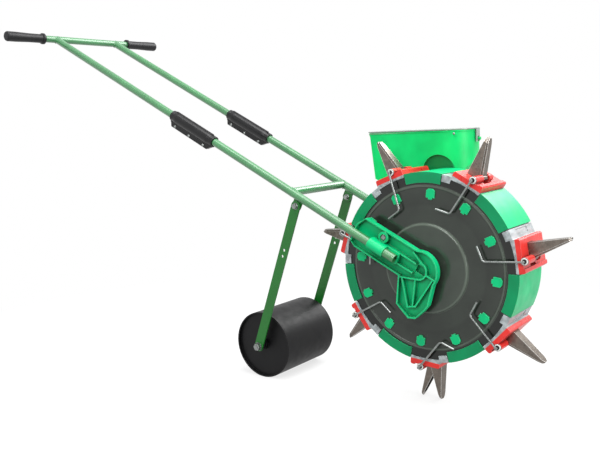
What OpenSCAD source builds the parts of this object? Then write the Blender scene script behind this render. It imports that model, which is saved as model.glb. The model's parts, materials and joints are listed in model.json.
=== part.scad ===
// Hand-push dibble wheel seeder: a wheel with seven opening beaks, a side hopper,
// a press roller and a two-tube push handle. +X is forward, +Z up, floor at z = 0.

/* [Wheel] */
// Radius over the green rim segments
tread_r = 234; // [220:1:250]
// Width of the wheel over its side discs
wheel_w = 138; // [130:1:150]
// Wall of the drum inside the rim segments
drum_wall = 4; // [3:0.5:6]
// Thickness of each side disc
disc_t = 4; // [3:0.5:6]
// Radius of each side disc's outer edge
disc_r = 202; // [195:1:206]
// Radius of the raised step around each side disc's middle
step_r = 104; // [95:1:115]
// Height of that step
step_h = 5; // [3:0.5:8]
// Radius of the circle of clips on each side
clip_circle_r = 182; // [178:1:183]
// Radius of each green rim segment's side lip, measured at its inner edge
lip_r = 208; // [206:0.5:212]
// Wall of a rim segment
rim_t = 5; // [4:0.5:7]

/* [Beaks] */
// Number of beaks around the wheel
beak_count = 7; // [5:1:8]
// Angle of the first beak's pin above the forward direction
beak_phase = 110.9; // [108:0.1:112]
// How far the beak pins stand out from the rim segments
pin_rise = 15; // [12:1:20]
// Diameter of a beak pin
pin_d = 6; // [5:0.5:8]
// How far the beak tips reach beyond the pin circle
tip_out = 92; // [80:1:100]
// Sideways distance from the pin to the beak's tip
tip_set = 38; // [34:1:42]
// Sideways distance from the pin to the fixed half's back at its root
root_set = 36; // [34:1:40]
// Sideways distance from the pin to the fixed half's free edges at their root
edge_set = 5; // [4.5:0.5:8]
// Sideways distance from the pin to the moving half's free edges at their root
flap_set = 24; // [18:1:28]
// Width of a beak at its root
root_w = 30; // [26:1:34]
// Width of a beak where its rounded tip begins
tip_w = 25; // [20:1:28]
// Width of the tip's end
nose_w = 10; // [9:1:14]
// Length of the rounded tip
nose_l = 14; // [10:1:18]
// Thickness of the beak's steel sheet
sheet_t = 2; // [1.5:0.5:2.5]
// Gap between the nested halves of a beak
half_gap = 0.5; // [0.3:0.1:0.8]
// Place of the beaks across the wheel
beak_y = -12; // [-16:1:0]
// Angle by which a moving beak half opens
open_angle = 30; // [20:1:34]
// Number of the beak that stands open on the floor
floor_beak = 4; // [4:1:4]
// Diameter of the lever wire
wire_d = 5; // [4:0.5:6]
// Gap between the side disc and the lever wire
wire_gap = 8.5; // [7:0.5:12]
// Length of the lever wire's long leg
lever_leg = 98; // [90:1:104]
// Angle of the lever wire's long leg from the line to the wheel's middle
lever_lean = 4.7; // [2:0.1:8]
// Angle by which the lever wire bends at its end
lever_turn = 71; // [50:1:80]
// Radius of that bend
bend_r = 9; // [6:1:12]
// Length of the lever wire's bent end
lever_hook = 36; // [20:1:40]

/* [Beak bases] */
// Length of a red base around the rim
base_l = 79; // [74:1:84]
// How much of that length lies behind the pin
base_back = 28.5; // [26:0.5:31]
// How far the pin stands out from the base's top
pin_over = 5; // [4:0.5:7]
// How far the housing's seat for the base lies inside the tread
seat_drop = 2.5; // [1.5:0.5:3]
// Gap between a beak's back and its window
window_gap = 0.8; // [0.5:0.1:2]
// Width of the raised bar behind the window
bar_w = 11; // [9:1:13]
// Rise of that bar over the base's top
bar_rise = 3; // [1:0.5:5]
// Length of the flange that holds a fixed half under its base
flange_l = 10; // [7:1:12]
// Outer radius of the pin barrels
barrel_r = 9; // [8:0.5:10]
// Length of the barrel on the far side of a beak
barrel_l = 20; // [14:1:26]

/* [Outlet housings] */
// How far a clear housing reaches ahead of the pin
tail_set = 73.5; // [68:0.5:78]
// How far the housing's surface lies inside the tread
housing_drop = 1; // [0.5:0.5:2]
// Radius at the inner edge of the housing's side under the base
cheek_r = 226; // [222:0.5:227]
// Radius at the inner edge of the housing's side on its tail
tail_r = 216; // [210:1:220]
// Length of the seed outlet around the rim
outlet_l = 22; // [14:1:24]
// Width of the seed outlet
outlet_w = 18; // [12:1:20]
// Depth of the recess in the tail's top
tail_recess = 2; // [1:0.5:2.5]

/* [Frame] */
// Outside diameter of every frame tube
tube_d = 22; // [20:1:25]
// Wall of the frame tubes
tube_wall = 1.5; // [1:0.1:2.5]
// Distance of each long tube from the middle
tube_y = 121; // [118:1:126]
// Slope of the handle
handle_angle = 27.2; // [25:0.1:30]
// Length from the wheel's axle to the middle of the handle bar
handle_l = 1473; // [1350:1:1550]
// Length of the handle bar over its grips
bar_l = 611; // [560:1:660]
// Length of a grip
grip_l = 136; // [110:1:150]
// How far a grip's collar stands out
grip_collar = 2; // [1:0.5:4]
// Outside diameter of a grip
grip_d = 31; // [28:1:36]
// Distance from the axle to the lower end of the clamp
clamp_s = 703; // [650:1:760]
// Length of the clamp
clamp_l = 178; // [150:1:190]
// Wall of the clamp's shell
clamp_wall = 4.5; // [3:0.5:6]
// How far the clamp's flange hangs below the tube's middle
clamp_drop = 30; // [26:1:34]
// Thickness of that flange
clamp_t = 12; // [8:1:14]
// Distance from the axle to the cross tube
cross_s = 404; // [380:1:430]

/* [Side brackets] */
// Distance from the middle to a bracket's inner face
bracket_y = 92; // [90:0.5:95]
// Thickness of a bracket's plate
plate_t = 4; // [3:0.5:6]
// Height of a bracket's edge ribs
rib_h = 16; // [12:1:20]
// Thickness of the ribs
rib_t = 3.5; // [2.5:0.5:5]
// Radius of the round head at the axle
head_r = 50; // [46:1:54]
// Distance from the axle to the far end of the arm
arm_l = 200; // [190:1:210]
// How far the arm's plate reaches above the tube's middle line
arm_up = 44; // [38:1:48]
// How far the arm's plate reaches below the tube's middle line
arm_down = 38; // [34:1:42]
// How far the cam fan hangs below the axle
cam_drop = 118; // [105:1:126]
// Distance from the axle to the lower end of the frame tube
tube_start = 62; // [56:1:70]
// Distance from the axle to the band over the tube
band_s = 94; // [88:1:100]
// Length of that band
band_l = 47; // [40:1:56]
// Wall of the band and of the socket ahead of it
band_wall = 3.5; // [2.5:0.5:5]
// Radius of the bolt boss beside the band
bolt_boss_r = 14; // [11:0.5:15]
// Radius of the round rib about the axle's pocket
ring_r = 21; // [19:1:24]
// Radius of the blind boss that holds the axle's right end
boss_r = 18; // [15:1:22]
// How deep the axle ends inside the right bracket's inner face
axle_inset = 10; // [8:1:12]
// Wheel axle diameter
axle_d = 20; // [16:1:24]

/* [Roller] */
// Radius of the press roller
roller_r = 93; // [80:1:100]
// Width of the press roller
roller_w = 216; // [200:1:222]
// Distance of the roller's axle behind the wheel's axle
roller_x = 499.5; // [470:1:530]
// Wall of the roller
roller_wall = 4; // [3:0.5:6]
// Roller axle diameter
roller_axle_d = 12; // [10:1:16]
// Width of the flat bars that carry the roller
strap_w = 28; // [24:1:32]
// Thickness of those bars
strap_t = 4; // [3:0.5:6]
// How far the bars' top bolts lie under the tubes' middle line
tab_drop = 26; // [26:1:32]
// Diameter of the frame's bolts
bolt_d = 8; // [6:1:10]
// Distance from the wheel's axle to the bars' top end, along the handle
strap_s = 376; // [360:1:390]

/* [Hopper] */
// Length of the hopper
hopper_l = 277; // [260:1:300]
// Width of the hopper
hopper_w = 140; // [137:1:150]
// Depth of the hopper's straight part
hopper_h = 124; // [100:1:140]
// Distance from the middle to the hopper's near wall
hopper_y = 80; // [80:1:90]
// Height of the hopper's rim above the wheel's axle
hopper_top = 328; // [310:1:340]
// Distance of the hopper's rear wall behind the axle
hopper_back = 240; // [220:1:250]
// Wall of the hopper
hopper_wall = 3; // [2:0.5:4]
// Radius of the hopper's upright front corners
hopper_corner = 66; // [50:1:68]
// How far the hopper's rear wall leans in towards its floor
hopper_taper = 14; // [0:1:20]
// Radius of the round recess in the hopper's side beside the wheel
recess_r = 45; // [36:1:48]
// Depth of that recess
recess_d = 7; // [4:1:10]
// Depth of the funnel under it
funnel_h = 58; // [45:1:62]
// Radius of the seed inlet around the axle
inlet_r = 44; // [36:1:48]
// Thickness of the lid
lid_t = 3; // [2:0.5:4]

/* [Fits] */
// Radial clearance of a turning shaft in its bore
run_gap = 0.05; // [0.03:0.01:0.1]
// Gap between neighbouring solids that turn or fold past each other
side_gap = 1; // [0.5:0.1:2]

/* [Hidden] */
$fn = 64;
slack = 0.01;
big = 1000;
pin_circle_r = tread_r + pin_rise;
tip_reach = pin_circle_r + tip_out;
tip_polar_r = sqrt(tip_reach * tip_reach + tip_set * tip_set);
tip_lead = atan(tip_set / tip_reach);
function beak_angle(i) = beak_phase - i * 360 / beak_count;
function is_open(i) = i == floor_beak;
// The fixed half of the floor beak sets the height of the axle.
axle_h = -tip_polar_r * sin(beak_angle(floor_beak) + tip_lead);
// The moving half is just as long as it needs to be to meet the floor when it is open.
flap_tip_set = tip_set - 2 * sheet_t;
open_lean = atan(flap_tip_set / tip_out) - open_angle;
floor_angle = beak_angle(floor_beak);
flap_len = -(axle_h + pin_circle_r * sin(floor_angle)) / sin(floor_angle + open_lean);
handle_end_x = -handle_l * cos(handle_angle);
// The foremost beak tip and the grips set the ends of the part.
front_tips = [for (i = [0 : beak_count - 1]) tip_polar_r * cos(beak_angle(i) + tip_lead)];
front_x = max(front_tips);
rear_x = handle_end_x - grip_d / 2 - grip_collar;
axle_x = -(front_x + rear_x) / 2;
half_w = wheel_w / 2;
shell_r = tread_r - rim_t;
lever_y = -(half_w + wire_gap + wire_d / 2);
pitch = 360 / beak_count;
base_ahead = base_l - base_back;
base_top = pin_circle_r - pin_over;
seat_r = tread_r - seat_drop;
housing_r = tread_r - housing_drop;
tail_angle = asin(tail_set / tread_r);
back_angle = asin(base_back / tread_r);
axle_end = bracket_y - axle_inset;

green = [0.02, 0.66, 0.36];
sage = [0.45, 0.72, 0.50];
dark_green = [0.12, 0.37, 0.12];
red = [0.86, 0.20, 0.16];
steel = [0.52, 0.50, 0.47];
smoke = [0.28, 0.31, 0.28];
black = [0.10, 0.11, 0.14];
clear = [0.80, 0.83, 0.84];

// ---- placing helpers ----
module at_axle() translate([axle_x, 0, axle_h]) children();
// Local z points outward through beak i's pin, local -x leads the beak.
module at_beak(i) at_axle() rotate([0, 90 - beak_angle(i), 0]) children();
// Local -x runs up the handle from the wheel's axle, local z stands square to it.
module along_handle() at_axle() rotate([0, handle_angle, 0]) children();
module across(len, center = true) rotate([90, 0, 0]) linear_extrude(height = len, center = center) children();
module rod_y(y0, y1, r) translate([0, y1, 0]) rotate([90, 0, 0]) cylinder(r = r, h = y1 - y0);
module tube_y_dir(y0, y1, r, wall) difference() {
  rod_y(y0, y1, r);
  rod_y(y0 - 1, y1 + 1, r - wall);
}
sector_steps = 4;
module sector_2d(a0, a1, r) polygon(concat([[0, 0]], [for (k = [0 : sector_steps])
  let (a = a0 + (a1 - a0) * k / sector_steps) [2 * r * cos(a), 2 * r * sin(a)]]));
module ring_2d(r0, r1, steps = 64) difference() {
  circle(r = r1, $fn = steps);
  circle(r = r0, $fn = steps);
}

// ---- handle ----
grip_cap = 3;
collar_l = 9;
module handle_bar() color(sage) at_axle() translate([handle_end_x, 0, handle_l * sin(handle_angle)])
  tube_y_dir(-bar_l / 2 + grip_cap, bar_l / 2 - grip_cap, tube_d / 2, tube_wall);

// A grip swells towards its round outer end and starts with a collar.
module grip(side) color(black) at_axle() translate([handle_end_x, 0, handle_l * sin(handle_angle)])
  mirror([0, side < 0 ? 1 : 0, 0]) translate([0, bar_l / 2 - grip_l, 0]) rotate([-90, 0, 0]) difference() {
    rotate_extrude() polygon([[0, 0], [grip_d / 2 + grip_collar - 1, 0], [grip_d / 2 + grip_collar, 1],
      [grip_d / 2 + grip_collar, collar_l - 2], [grip_d / 2 - 1.5, collar_l],
      [grip_d / 2 - 1.5, grip_l * 0.4], [grip_d / 2, grip_l * 0.75], [grip_d / 2, grip_l - 5],
      [grip_d / 2 - 2, grip_l - 1.5], [grip_d / 2 - 5, grip_l], [0, grip_l]]);
    translate([0, 0, -1]) cylinder(r = tube_d / 2, h = grip_l + 1 - grip_cap);
  }

module long_tube(s0, s1, side) along_handle() translate([-s1, side * tube_y, 0]) rotate([0, 90, 0]) difference() {
  cylinder(d = tube_d, h = s1 - s0);
  translate([0, 0, -1]) cylinder(d = tube_d - 2 * tube_wall, h = s1 - s0 + 2);
}
clamp_mid = clamp_s + clamp_l / 2;
tube_gap = 0.5;
module upper_tube(side) color(sage) difference() {
  long_tube(clamp_mid + tube_gap, handle_l, side);
  along_handle() translate([-handle_l, 0, 0]) rod_y(-bar_l, bar_l, tube_d / 2);
}
module lower_tube(side) color(sage) long_tube(tube_start, clamp_mid - tube_gap, side);

module cross_tube() color(sage) difference() {
  along_handle() translate([-cross_s, 0, 0]) tube_y_dir(-tube_y, tube_y, tube_d / 2, tube_wall);
  for (side = [-1, 1]) along_handle() translate([-cross_s - tube_d, side * tube_y, 0])
    rotate([0, 90, 0]) cylinder(d = tube_d, h = 2 * tube_d);
}

// The clamp's shell has a swelled middle, a ridge on top and a flange with slanted ends below.
clamp_r = tube_d / 2 + clamp_wall;
swell = 1.5;
swell_inset = 12;
ridge_w = 5;
ridge_h = 2.5;
flange_slant = 18;
module clamp(side) color(black) along_handle() translate([-clamp_s - clamp_l, side * tube_y, 0]) difference() {
  union() {
    rotate([0, 90, 0]) rotate_extrude() polygon([[0, 0], [clamp_r - 1, 0], [clamp_r, 1],
      [clamp_r, swell_inset], [clamp_r + swell, 2 * swell_inset], [clamp_r + swell, clamp_l - 2 * swell_inset],
      [clamp_r, clamp_l - swell_inset], [clamp_r, clamp_l - 1], [clamp_r - 1, clamp_l], [0, clamp_l]]);
    translate([swell_inset, -ridge_w / 2, 0]) cube([clamp_l - 2 * swell_inset, ridge_w, clamp_r + ridge_h]);
    across(clamp_t) polygon([[2, 0], [2, -clamp_r], [flange_slant / 2, -clamp_drop],
      [clamp_l - flange_slant, -clamp_drop], [clamp_l - 2, -clamp_r], [clamp_l - 2, 0]]);
    translate([2, 0, -clamp_r - 1.5]) across(clamp_t + 3) square([clamp_l - 4, clamp_r + 1.5]);
  }
  translate([-1, 0, 0]) rotate([0, 90, 0]) cylinder(d = tube_d, h = clamp_l + 2);
}

// ---- side brackets ----
// The arm's outline lies along the tube; its far end is cut back at both corners.
end_cut = 18;
module arm_outline(inset) rotate(-handle_angle) polygon([[0, -arm_down + inset],
  [-arm_l + end_cut - inset / 2, -arm_down + inset], [-arm_l + inset, -arm_down + end_cut / 2],
  [-arm_l + inset, arm_up - end_cut * 1.5], [-arm_l + end_cut, arm_up - inset], [0, arm_up - inset]]);
// Corners of the cam fan that opens the beaks
module cam_outline(inset) polygon([[-55 + inset, -13], [-63 + inset, -cam_drop * 0.72],
  [-32 + inset / 2, -cam_drop + inset], [-12, -cam_drop + inset], [12 - inset / 2, -cam_drop * 0.82 + inset / 2],
  [24 - inset, -cam_drop * 0.7], [40 - inset, -cam_drop * 0.22], [49 - inset, -5]]);
module bracket_outline(inset, cam) {
  circle(r = head_r - inset);
  arm_outline(inset);
  if (cam) cam_outline(inset);
}
// Straight ribs, each from one point of a bracket's face to another
module rib_2d(a, b) translate(a) rotate(atan2(b[1] - a[1], b[0] - a[0]))
  translate([-rib_t / 2, -rib_t / 2]) square([norm(b - a) + rib_t, rib_t]);
pocket_x = 3;
pocket_l = 28;
pocket_w = 18;
pocket_wall = 4;
hole_r = 2.5;
socket_w = tube_d + 2 * band_wall;
module face_ribs(cam) {
  intersection() {
    ring_2d(ring_r - rib_t / 2, ring_r + rib_t / 2);
    sector_2d(-95, 75, ring_r);
  }
  rib_2d([ring_r * cos(60), ring_r * sin(60)], [-arm_up * 0.25, arm_up]);
  rib_2d([0, -ring_r], [-55, -17]);
  rib_2d([ring_r * cos(-25), ring_r * sin(-25)], [41, -20]);
  rotate(-handle_angle) for (n = [-1, 1]) rib_2d([-pocket_l / 2, n * (socket_w - rib_t) / 2],
    [-band_s, n * (socket_w - rib_t) / 2]);
  if (cam) {
    rib_2d([-45, -20], [-32, -cam_drop * 0.76]);
    rib_2d([-9, -ring_r], [-18, -cam_drop * 0.74]);
    rib_2d([37, -20], [-11, -cam_drop * 0.74]);
    rib_2d([-32, -cam_drop * 0.76], [-11, -cam_drop * 0.74]);
  }
}
bolt_boss_s = band_s + band_l / 2;
bolt_boss_n = tube_d / 2 + bolt_boss_r + 1;
cradle_y = tube_y - tube_d / 2 + 3;
module on_face(s, n) along_handle() translate([-s, -bracket_y, n]) children();
module bracket(side) {
  cam = side < 0;
  color(green) mirror([0, side < 0 ? 0 : 1, 0]) difference() {
    union() {
      at_axle() translate([0, -bracket_y, 0]) across(plate_t, false) bracket_outline(0, cam);
      at_axle() translate([0, -bracket_y, 0]) across(rib_h, false) {
        difference() {
          bracket_outline(0, cam);
          bracket_outline(rib_t, cam);
        }
        intersection() {
          bracket_outline(rib_t / 2, cam);
          face_ribs(cam);
        }
      }
      on_face(band_s + band_l, 0) translate([0, bracket_y - tube_y, 0]) rotate([0, 90, 0])
        cylinder(d = socket_w, h = band_l);
      on_face(band_s + band_l, -socket_w / 2) translate([0, bracket_y - tube_y, 0])
        cube([band_l, tube_y - bracket_y, socket_w]);
      on_face(band_s, -socket_w / 2) translate([0, bracket_y - cradle_y, 0])
        cube([band_s - tube_start + band_wall, cradle_y - bracket_y, socket_w]);
      on_face(bolt_boss_s, bolt_boss_n) rod_y(-rib_h - 2, 0, bolt_boss_r);
      if (cam) at_axle() rod_y(-bracket_y - slack, -half_w - hub_out - side_gap, boss_r);
      else at_axle() rod_y(-bracket_y - rib_h, -bracket_y, axle_d / 2 + 7);
    }
    along_handle() translate([-tube_start, -tube_y, 0]) rotate([0, -90, 0]) cylinder(d = tube_d, h = big);
    on_face(bolt_boss_s, bolt_boss_n) rod_y(-rib_h - 3, -rib_h + 3, bolt_boss_r - 6);
    at_axle() rod_y(cam ? -axle_end : -big, big, axle_d / 2);
    if (cam) at_axle() {
      translate([pocket_x, -axle_end - pocket_wall, 0]) rotate([0, handle_angle, 0]) across(big, false)
        square([pocket_l, pocket_w], center = true);
      translate([head_r - 8, 0, 15]) rod_y(-big, -bracket_y + 1, hole_r);
    }
  }
}
module axle() color(steel) at_axle() rod_y(-axle_end, bracket_y + rib_h + 6, axle_d / 2);

// ---- press roller ----
roller_z = roller_r;
strap_top = [-strap_s * cos(handle_angle) - tab_drop * sin(handle_angle),
  strap_s * sin(handle_angle) - tab_drop * cos(handle_angle)];
strap_bottom = [-roller_x, roller_z - axle_h];
strap_dx = strap_bottom[0] - strap_top[0];
strap_dz = strap_bottom[1] - strap_top[1];
strap_len = sqrt(strap_dx * strap_dx + strap_dz * strap_dz);
module along_strap() translate([strap_top[0], 0, strap_top[1]]) rotate([0, atan2(strap_dx, strap_dz), 0]) children();
module strap(side) color(dark_green) at_axle() translate([0, side * (tube_y + strap_t / 2), 0]) difference() {
  along_strap() across(strap_t) {
    translate([0, strap_len / 2]) square([strap_w, strap_len], center = true);
    circle(d = strap_w);
    translate([0, strap_len]) circle(d = strap_w);
  }
  translate([strap_bottom[0], 0, strap_bottom[1]]) rod_y(-big, big, roller_axle_d / 2);
  translate([strap_top[0], 0, strap_top[1]]) rod_y(-big, big, bolt_d / 2);
  along_strap() for (z = [strap_len * 0.3, strap_len * 0.3 + 18]) translate([0, 0, z]) rod_y(-big, big, bolt_d / 2);
}
// A welded tab under each long tube carries the flat bar.
module strap_tab(side) color(dark_green) difference() {
  union() {
    along_handle() translate([-strap_s, side * (tube_y - strap_t / 2), -tab_drop]) across(strap_t) {
      circle(d = strap_w);
      translate([-strap_w / 2, 0]) square([strap_w, tab_drop - tube_d / 4]);
    }
    at_axle() translate([strap_top[0], 0, strap_top[1]]) rod_y(side * tube_y - strap_t - 5,
      side * tube_y + strap_t + 5, bolt_d / 2);
  }
  long_tube_bore(side);
}
module long_tube_bore(side) along_handle() translate([-big, side * tube_y, 0]) rotate([0, 90, 0])
  cylinder(d = tube_d, h = 2 * big);
module roller_axle() color(steel) translate([axle_x - roller_x, 0, roller_z]) {
  rod_y(-tube_y - strap_t - 6, tube_y + strap_t + 6, roller_axle_d / 2);
  for (side = [-1, 1]) translate([0, side * (tube_y + roller_w / 2 + side_gap) / 2, 0])
    rod_y(-(tube_y - roller_w / 2 - side_gap) / 2, (tube_y - roller_w / 2 - side_gap) / 2, roller_axle_d / 2 + 5);
}
module roller() color(black) translate([axle_x - roller_x, 0, roller_z]) difference() {
  union() {
    tube_y_dir(-roller_w / 2 + 2, roller_w / 2 - 2, roller_r, roller_wall);
    for (s = [-1, 1]) translate([0, s * (roller_w / 2 - 12), 0]) rod_y(-2, 2, roller_r - roller_wall / 2);
    rod_y(-roller_w / 2, roller_w / 2, roller_axle_d / 2 + 8);
  }
  rod_y(-big, big, roller_axle_d / 2 + run_gap);
}

// ---- hopper ----
hopper_floor = hopper_top - hopper_h;
neck_top = hopper_floor - funnel_h;
hopper_front = hopper_l - hopper_back;
neck_w = 60;
neck_x = -72;
neck_gap = 7;
neck_y0 = half_w + neck_gap;
neck_y1 = bracket_y;
// How far the funnel's mouth reaches over the neck's outer side
funnel_over = 8;
hinge_out = 7;
hinge_drop = 6;
hinge_r = 5;
lid_pin_r = 2;
lug_w = 14;
lug_y = 45;
nose_rise = 42;
nose_cut = 30;
recess_x = -38;
recess_up = 18;
peg_r = 4;
peg_l = 14;
peg_drop = 24;
hopper_mid = hopper_y + hopper_w / 2;
module hopper_plan(inset) {
  c = hopper_corner;
  translate([-hopper_back, hopper_y]) {
    translate([inset, inset]) square([hopper_l - c - inset, hopper_w - 2 * inset]);
    translate([inset, c]) square([hopper_l - 2 * inset, hopper_w - 2 * c]);
    for (y = [c, hopper_w - c]) translate([hopper_l - c, y]) circle(r = c - inset);
  }
}
module hopper_side(inset) translate([0, hopper_y + hopper_w, 0]) across(hopper_w, false) polygon([
  [-hopper_back + inset, hopper_top + 1], [-hopper_back + hopper_taper + inset, hopper_floor + inset],
  [hopper_front - nose_cut - inset, hopper_floor + inset], [hopper_front - inset, hopper_floor + nose_rise],
  [hopper_front - inset, hopper_top + 1]]);
module hopper_body(inset, extra) intersection() {
  translate([0, 0, hopper_floor]) linear_extrude(height = hopper_h + extra) hopper_plan(inset);
  hopper_side(inset);
}
// The funnel under the hopper narrows in both directions to the neck.
module funnel(inset, top) {
  x0 = -hopper_back + hopper_taper + inset;
  x1 = hopper_front - hopper_corner - inset;
  intersection() {
    translate([0, hopper_y + hopper_w, 0]) across(hopper_w, false) polygon([[x0, top], [x0, hopper_floor],
      [neck_x - neck_w / 2 + inset, neck_top], [neck_x + neck_w / 2 - inset, neck_top], [x1, hopper_floor], [x1, top]]);
    translate([-hopper_back, 0, 0]) rotate([90, 0, 90]) linear_extrude(height = hopper_l) polygon([
      [hopper_y + inset, top], [hopper_y + hopper_w - inset, top], [hopper_y + hopper_w - inset, hopper_floor],
      [neck_y1 + funnel_over - inset, neck_top - 1], [hopper_y + inset, neck_top - 1]]);
  }
}
module side_recess(r, depth) translate([recess_x, 0, hopper_floor + recess_up])
  rod_y(hopper_y - 1, hopper_y + depth, r);
module hopper() color(green) at_axle() difference() {
  union() {
    hopper_body(0, 0);
    funnel(0, hopper_floor + 1);
    for (s = [-1, 1]) translate([-hopper_back, hopper_mid + s * lug_y, hopper_top - hinge_drop])
      hinge_lug(lug_w);
    translate([hopper_front - 2, hopper_mid, hopper_top - peg_drop]) rotate([0, 90, 0])
      cylinder(r = peg_r, h = peg_l);
  }
  difference() {
    union() {
      hopper_body(hopper_wall, 1);
      intersection() {
        funnel(hopper_wall, hopper_floor + 2 * hopper_wall);
        translate([-big, -big, neck_top + 2]) cube([2 * big, 2 * big, big]);
      }
    }
    side_recess(recess_r + hopper_wall, recess_d + hopper_wall);
  }
  side_recess(recess_r, recess_d);
  lid_axis() rod_y(-big, big, lid_pin_r);
}
module lid_axis() translate([-hopper_back - hinge_out, 0, hopper_top - hinge_drop]) children();
module hinge_lug(w) translate([-hinge_out, -w / 2, 0]) {
  rod_y(0, w, hinge_r);
  translate([0, 0, -hinge_r]) cube([hinge_out, w, 2 * hinge_r]);
}
pin_half_l = lug_y + lug_w / 2 + 4;
module lid_pin() color(steel) at_axle() lid_axis() rod_y(hopper_mid - pin_half_l, hopper_mid + pin_half_l, lid_pin_r);
module hopper_neck() color(green) at_axle() difference() {
  union() {
    translate([neck_x - neck_w / 2, neck_y0, 0]) cube([neck_w, neck_y1 - neck_y0, neck_top]);
    rod_y(neck_y0 - 8, neck_y1, inlet_r);
  }
  rod_y(-big, big, axle_d / 2);
}
lid_gap = 0.3;
lid_over = 2;
knuckle_w = 60;
fork_w = 18;
fork_slot = 10;
fork_l = 32;
fork_t = 3;
module hopper_lid() color([0.6, 0.65, 0.62]) at_axle() difference() {
  union() {
    translate([0, 0, hopper_top + lid_gap]) linear_extrude(height = lid_t) hopper_plan(-lid_over);
    translate([-hopper_back - hinge_out, hopper_mid - knuckle_w / 2, hopper_top - hinge_drop]) {
      rod_y(0, knuckle_w, hinge_r);
      translate([-3, 0, 0]) cube([hinge_out + 2.5, knuckle_w, hinge_drop + lid_gap + lid_t]);
    }
    translate([hopper_front + fork_t, hopper_mid - fork_w / 2, hopper_top - fork_l])
      cube([fork_t, fork_w, fork_l + lid_t]);
    translate([hopper_front, hopper_mid - fork_w / 2, hopper_top + lid_gap]) cube([2 * fork_t, fork_w, lid_t]);
  }
  lid_axis() rod_y(-big, big, lid_pin_r + run_gap);
  translate([hopper_front, hopper_mid - fork_slot / 2, hopper_top - peg_drop - peg_r - 12])
    cube([10, fork_slot, peg_r * 2 + 14]);
}

// ---- wheel ----
// Heights in the disc's profile are counted outwards from the wheel's side plane.
lip_t = 3;
face_z = -1;
module drum() color(smoke) difference() {
  at_axle() tube_y_dir(-half_w + lip_t + disc_t, half_w - lip_t - disc_t, shell_r, drum_wall);
  for (i = [0 : beak_count - 1]) at_beak(i) seed_outlet();
}
// Seeds drop through this opening into the beak, midway between its pin and its back.
module seed_outlet() translate([-(root_set + edge_set) / 2, beak_y, shell_r])
  cube([outlet_l, outlet_w, 6 * drum_wall], center = true);
module disc_profile(bore_r) polygon([[bore_r, face_z - step_h], [step_r, face_z - step_h], [step_r + 4, face_z],
  [disc_r - 6, face_z], [disc_r - 5, 0], [disc_r, 0], [disc_r, -lip_t], [shell_r, -lip_t],
  [shell_r, -lip_t - disc_t], [disc_r - 4, -lip_t - disc_t], [disc_r - 7, face_z - disc_t],
  [step_r + 4, face_z - disc_t], [step_r, face_z - step_h - disc_t], [bore_r, face_z - step_h - disc_t]]);
module disc(side, bore_r) color(smoke) at_axle() mirror([0, side < 0 ? 0 : 1, 0]) translate([0, -half_w, 0])
  rotate([90, 0, 0]) rotate_extrude($fn = 96) disc_profile(bore_r);
hub_r = axle_d / 2 + 14;
hub_out = 2;
module hub() color(black) at_axle() difference() {
  union() {
    rod_y(-half_w - hub_out, half_w - 12, hub_r);
    rod_y(half_w - 30, half_w - 20, hub_r + 1);
  }
  rod_y(-big, big, axle_d / 2 + run_gap);
}
end_gap = 0.6;
module rim_segments() color(green) at_axle() for (i = [0 : beak_count - 1]) {
  a0 = beak_angle(i) + tail_angle + end_gap;
  a1 = beak_angle(i) + pitch - back_angle - end_gap;
  intersection() {
    across(wheel_w) sector_2d(a0, a1, tread_r);
    union() {
      tube_y_dir(-half_w, half_w, tread_r, rim_t);
      for (side = [-1, 1]) translate([0, side * (half_w - lip_t / 2), 0])
        tube_y_dir(-lip_t / 2, lip_t / 2, tread_r - 1, tread_r - 1 - lip_r);
    }
  }
}
// A housing seats a base on its flat pad; its tail runs on ahead to the next rim segment.
module sector_here(from_angle, to_angle) sector_2d(90 + from_angle, 90 + to_angle, tread_r);
pad_angle = asin(base_ahead / tread_r);
tail_rim = 1.5;
module outlet_housings() color(clear) for (i = [0 : beak_count - 1]) at_beak(i) outlet_housing();
fine = 256;
module housing_2d() difference() {
  union() {
    intersection() {
      circle(r = housing_r, $fn = fine);
      sector_here(-back_angle, tail_angle);
    }
    translate([-base_ahead, shell_r / 2]) square([base_l, seat_r - shell_r / 2]);
  }
  circle(r = shell_r, $fn = fine);
  translate([-base_ahead, seat_r]) square([base_l, big]);
}
module cheek_2d(inner_r, from_angle) intersection() {
  ring_2d(inner_r, shell_r + slack, fine);
  sector_here(from_angle, tail_angle);
}
module outlet_housing() difference() {
  union() {
    across(wheel_w - 2 * lip_t) housing_2d();
    for (side = [-1, 1]) translate([0, side * (half_w - lip_t / 2), 0]) across(lip_t) {
      housing_2d();
      cheek_2d(cheek_r, -back_angle);
      cheek_2d(tail_r, pad_angle);
    }
  }
  seed_outlet();
  across(wheel_w / 2) difference() {
    sector_here(pad_angle + tail_rim, tail_angle - tail_rim / 2);
    circle(r = housing_r - tail_recess, $fn = fine);
  }
}
module beak_bases() color(red) for (i = [0 : beak_count - 1]) at_beak(i) beak_base();
window_w = root_w + 2 * side_gap;
edge_cut = 3;
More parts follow.
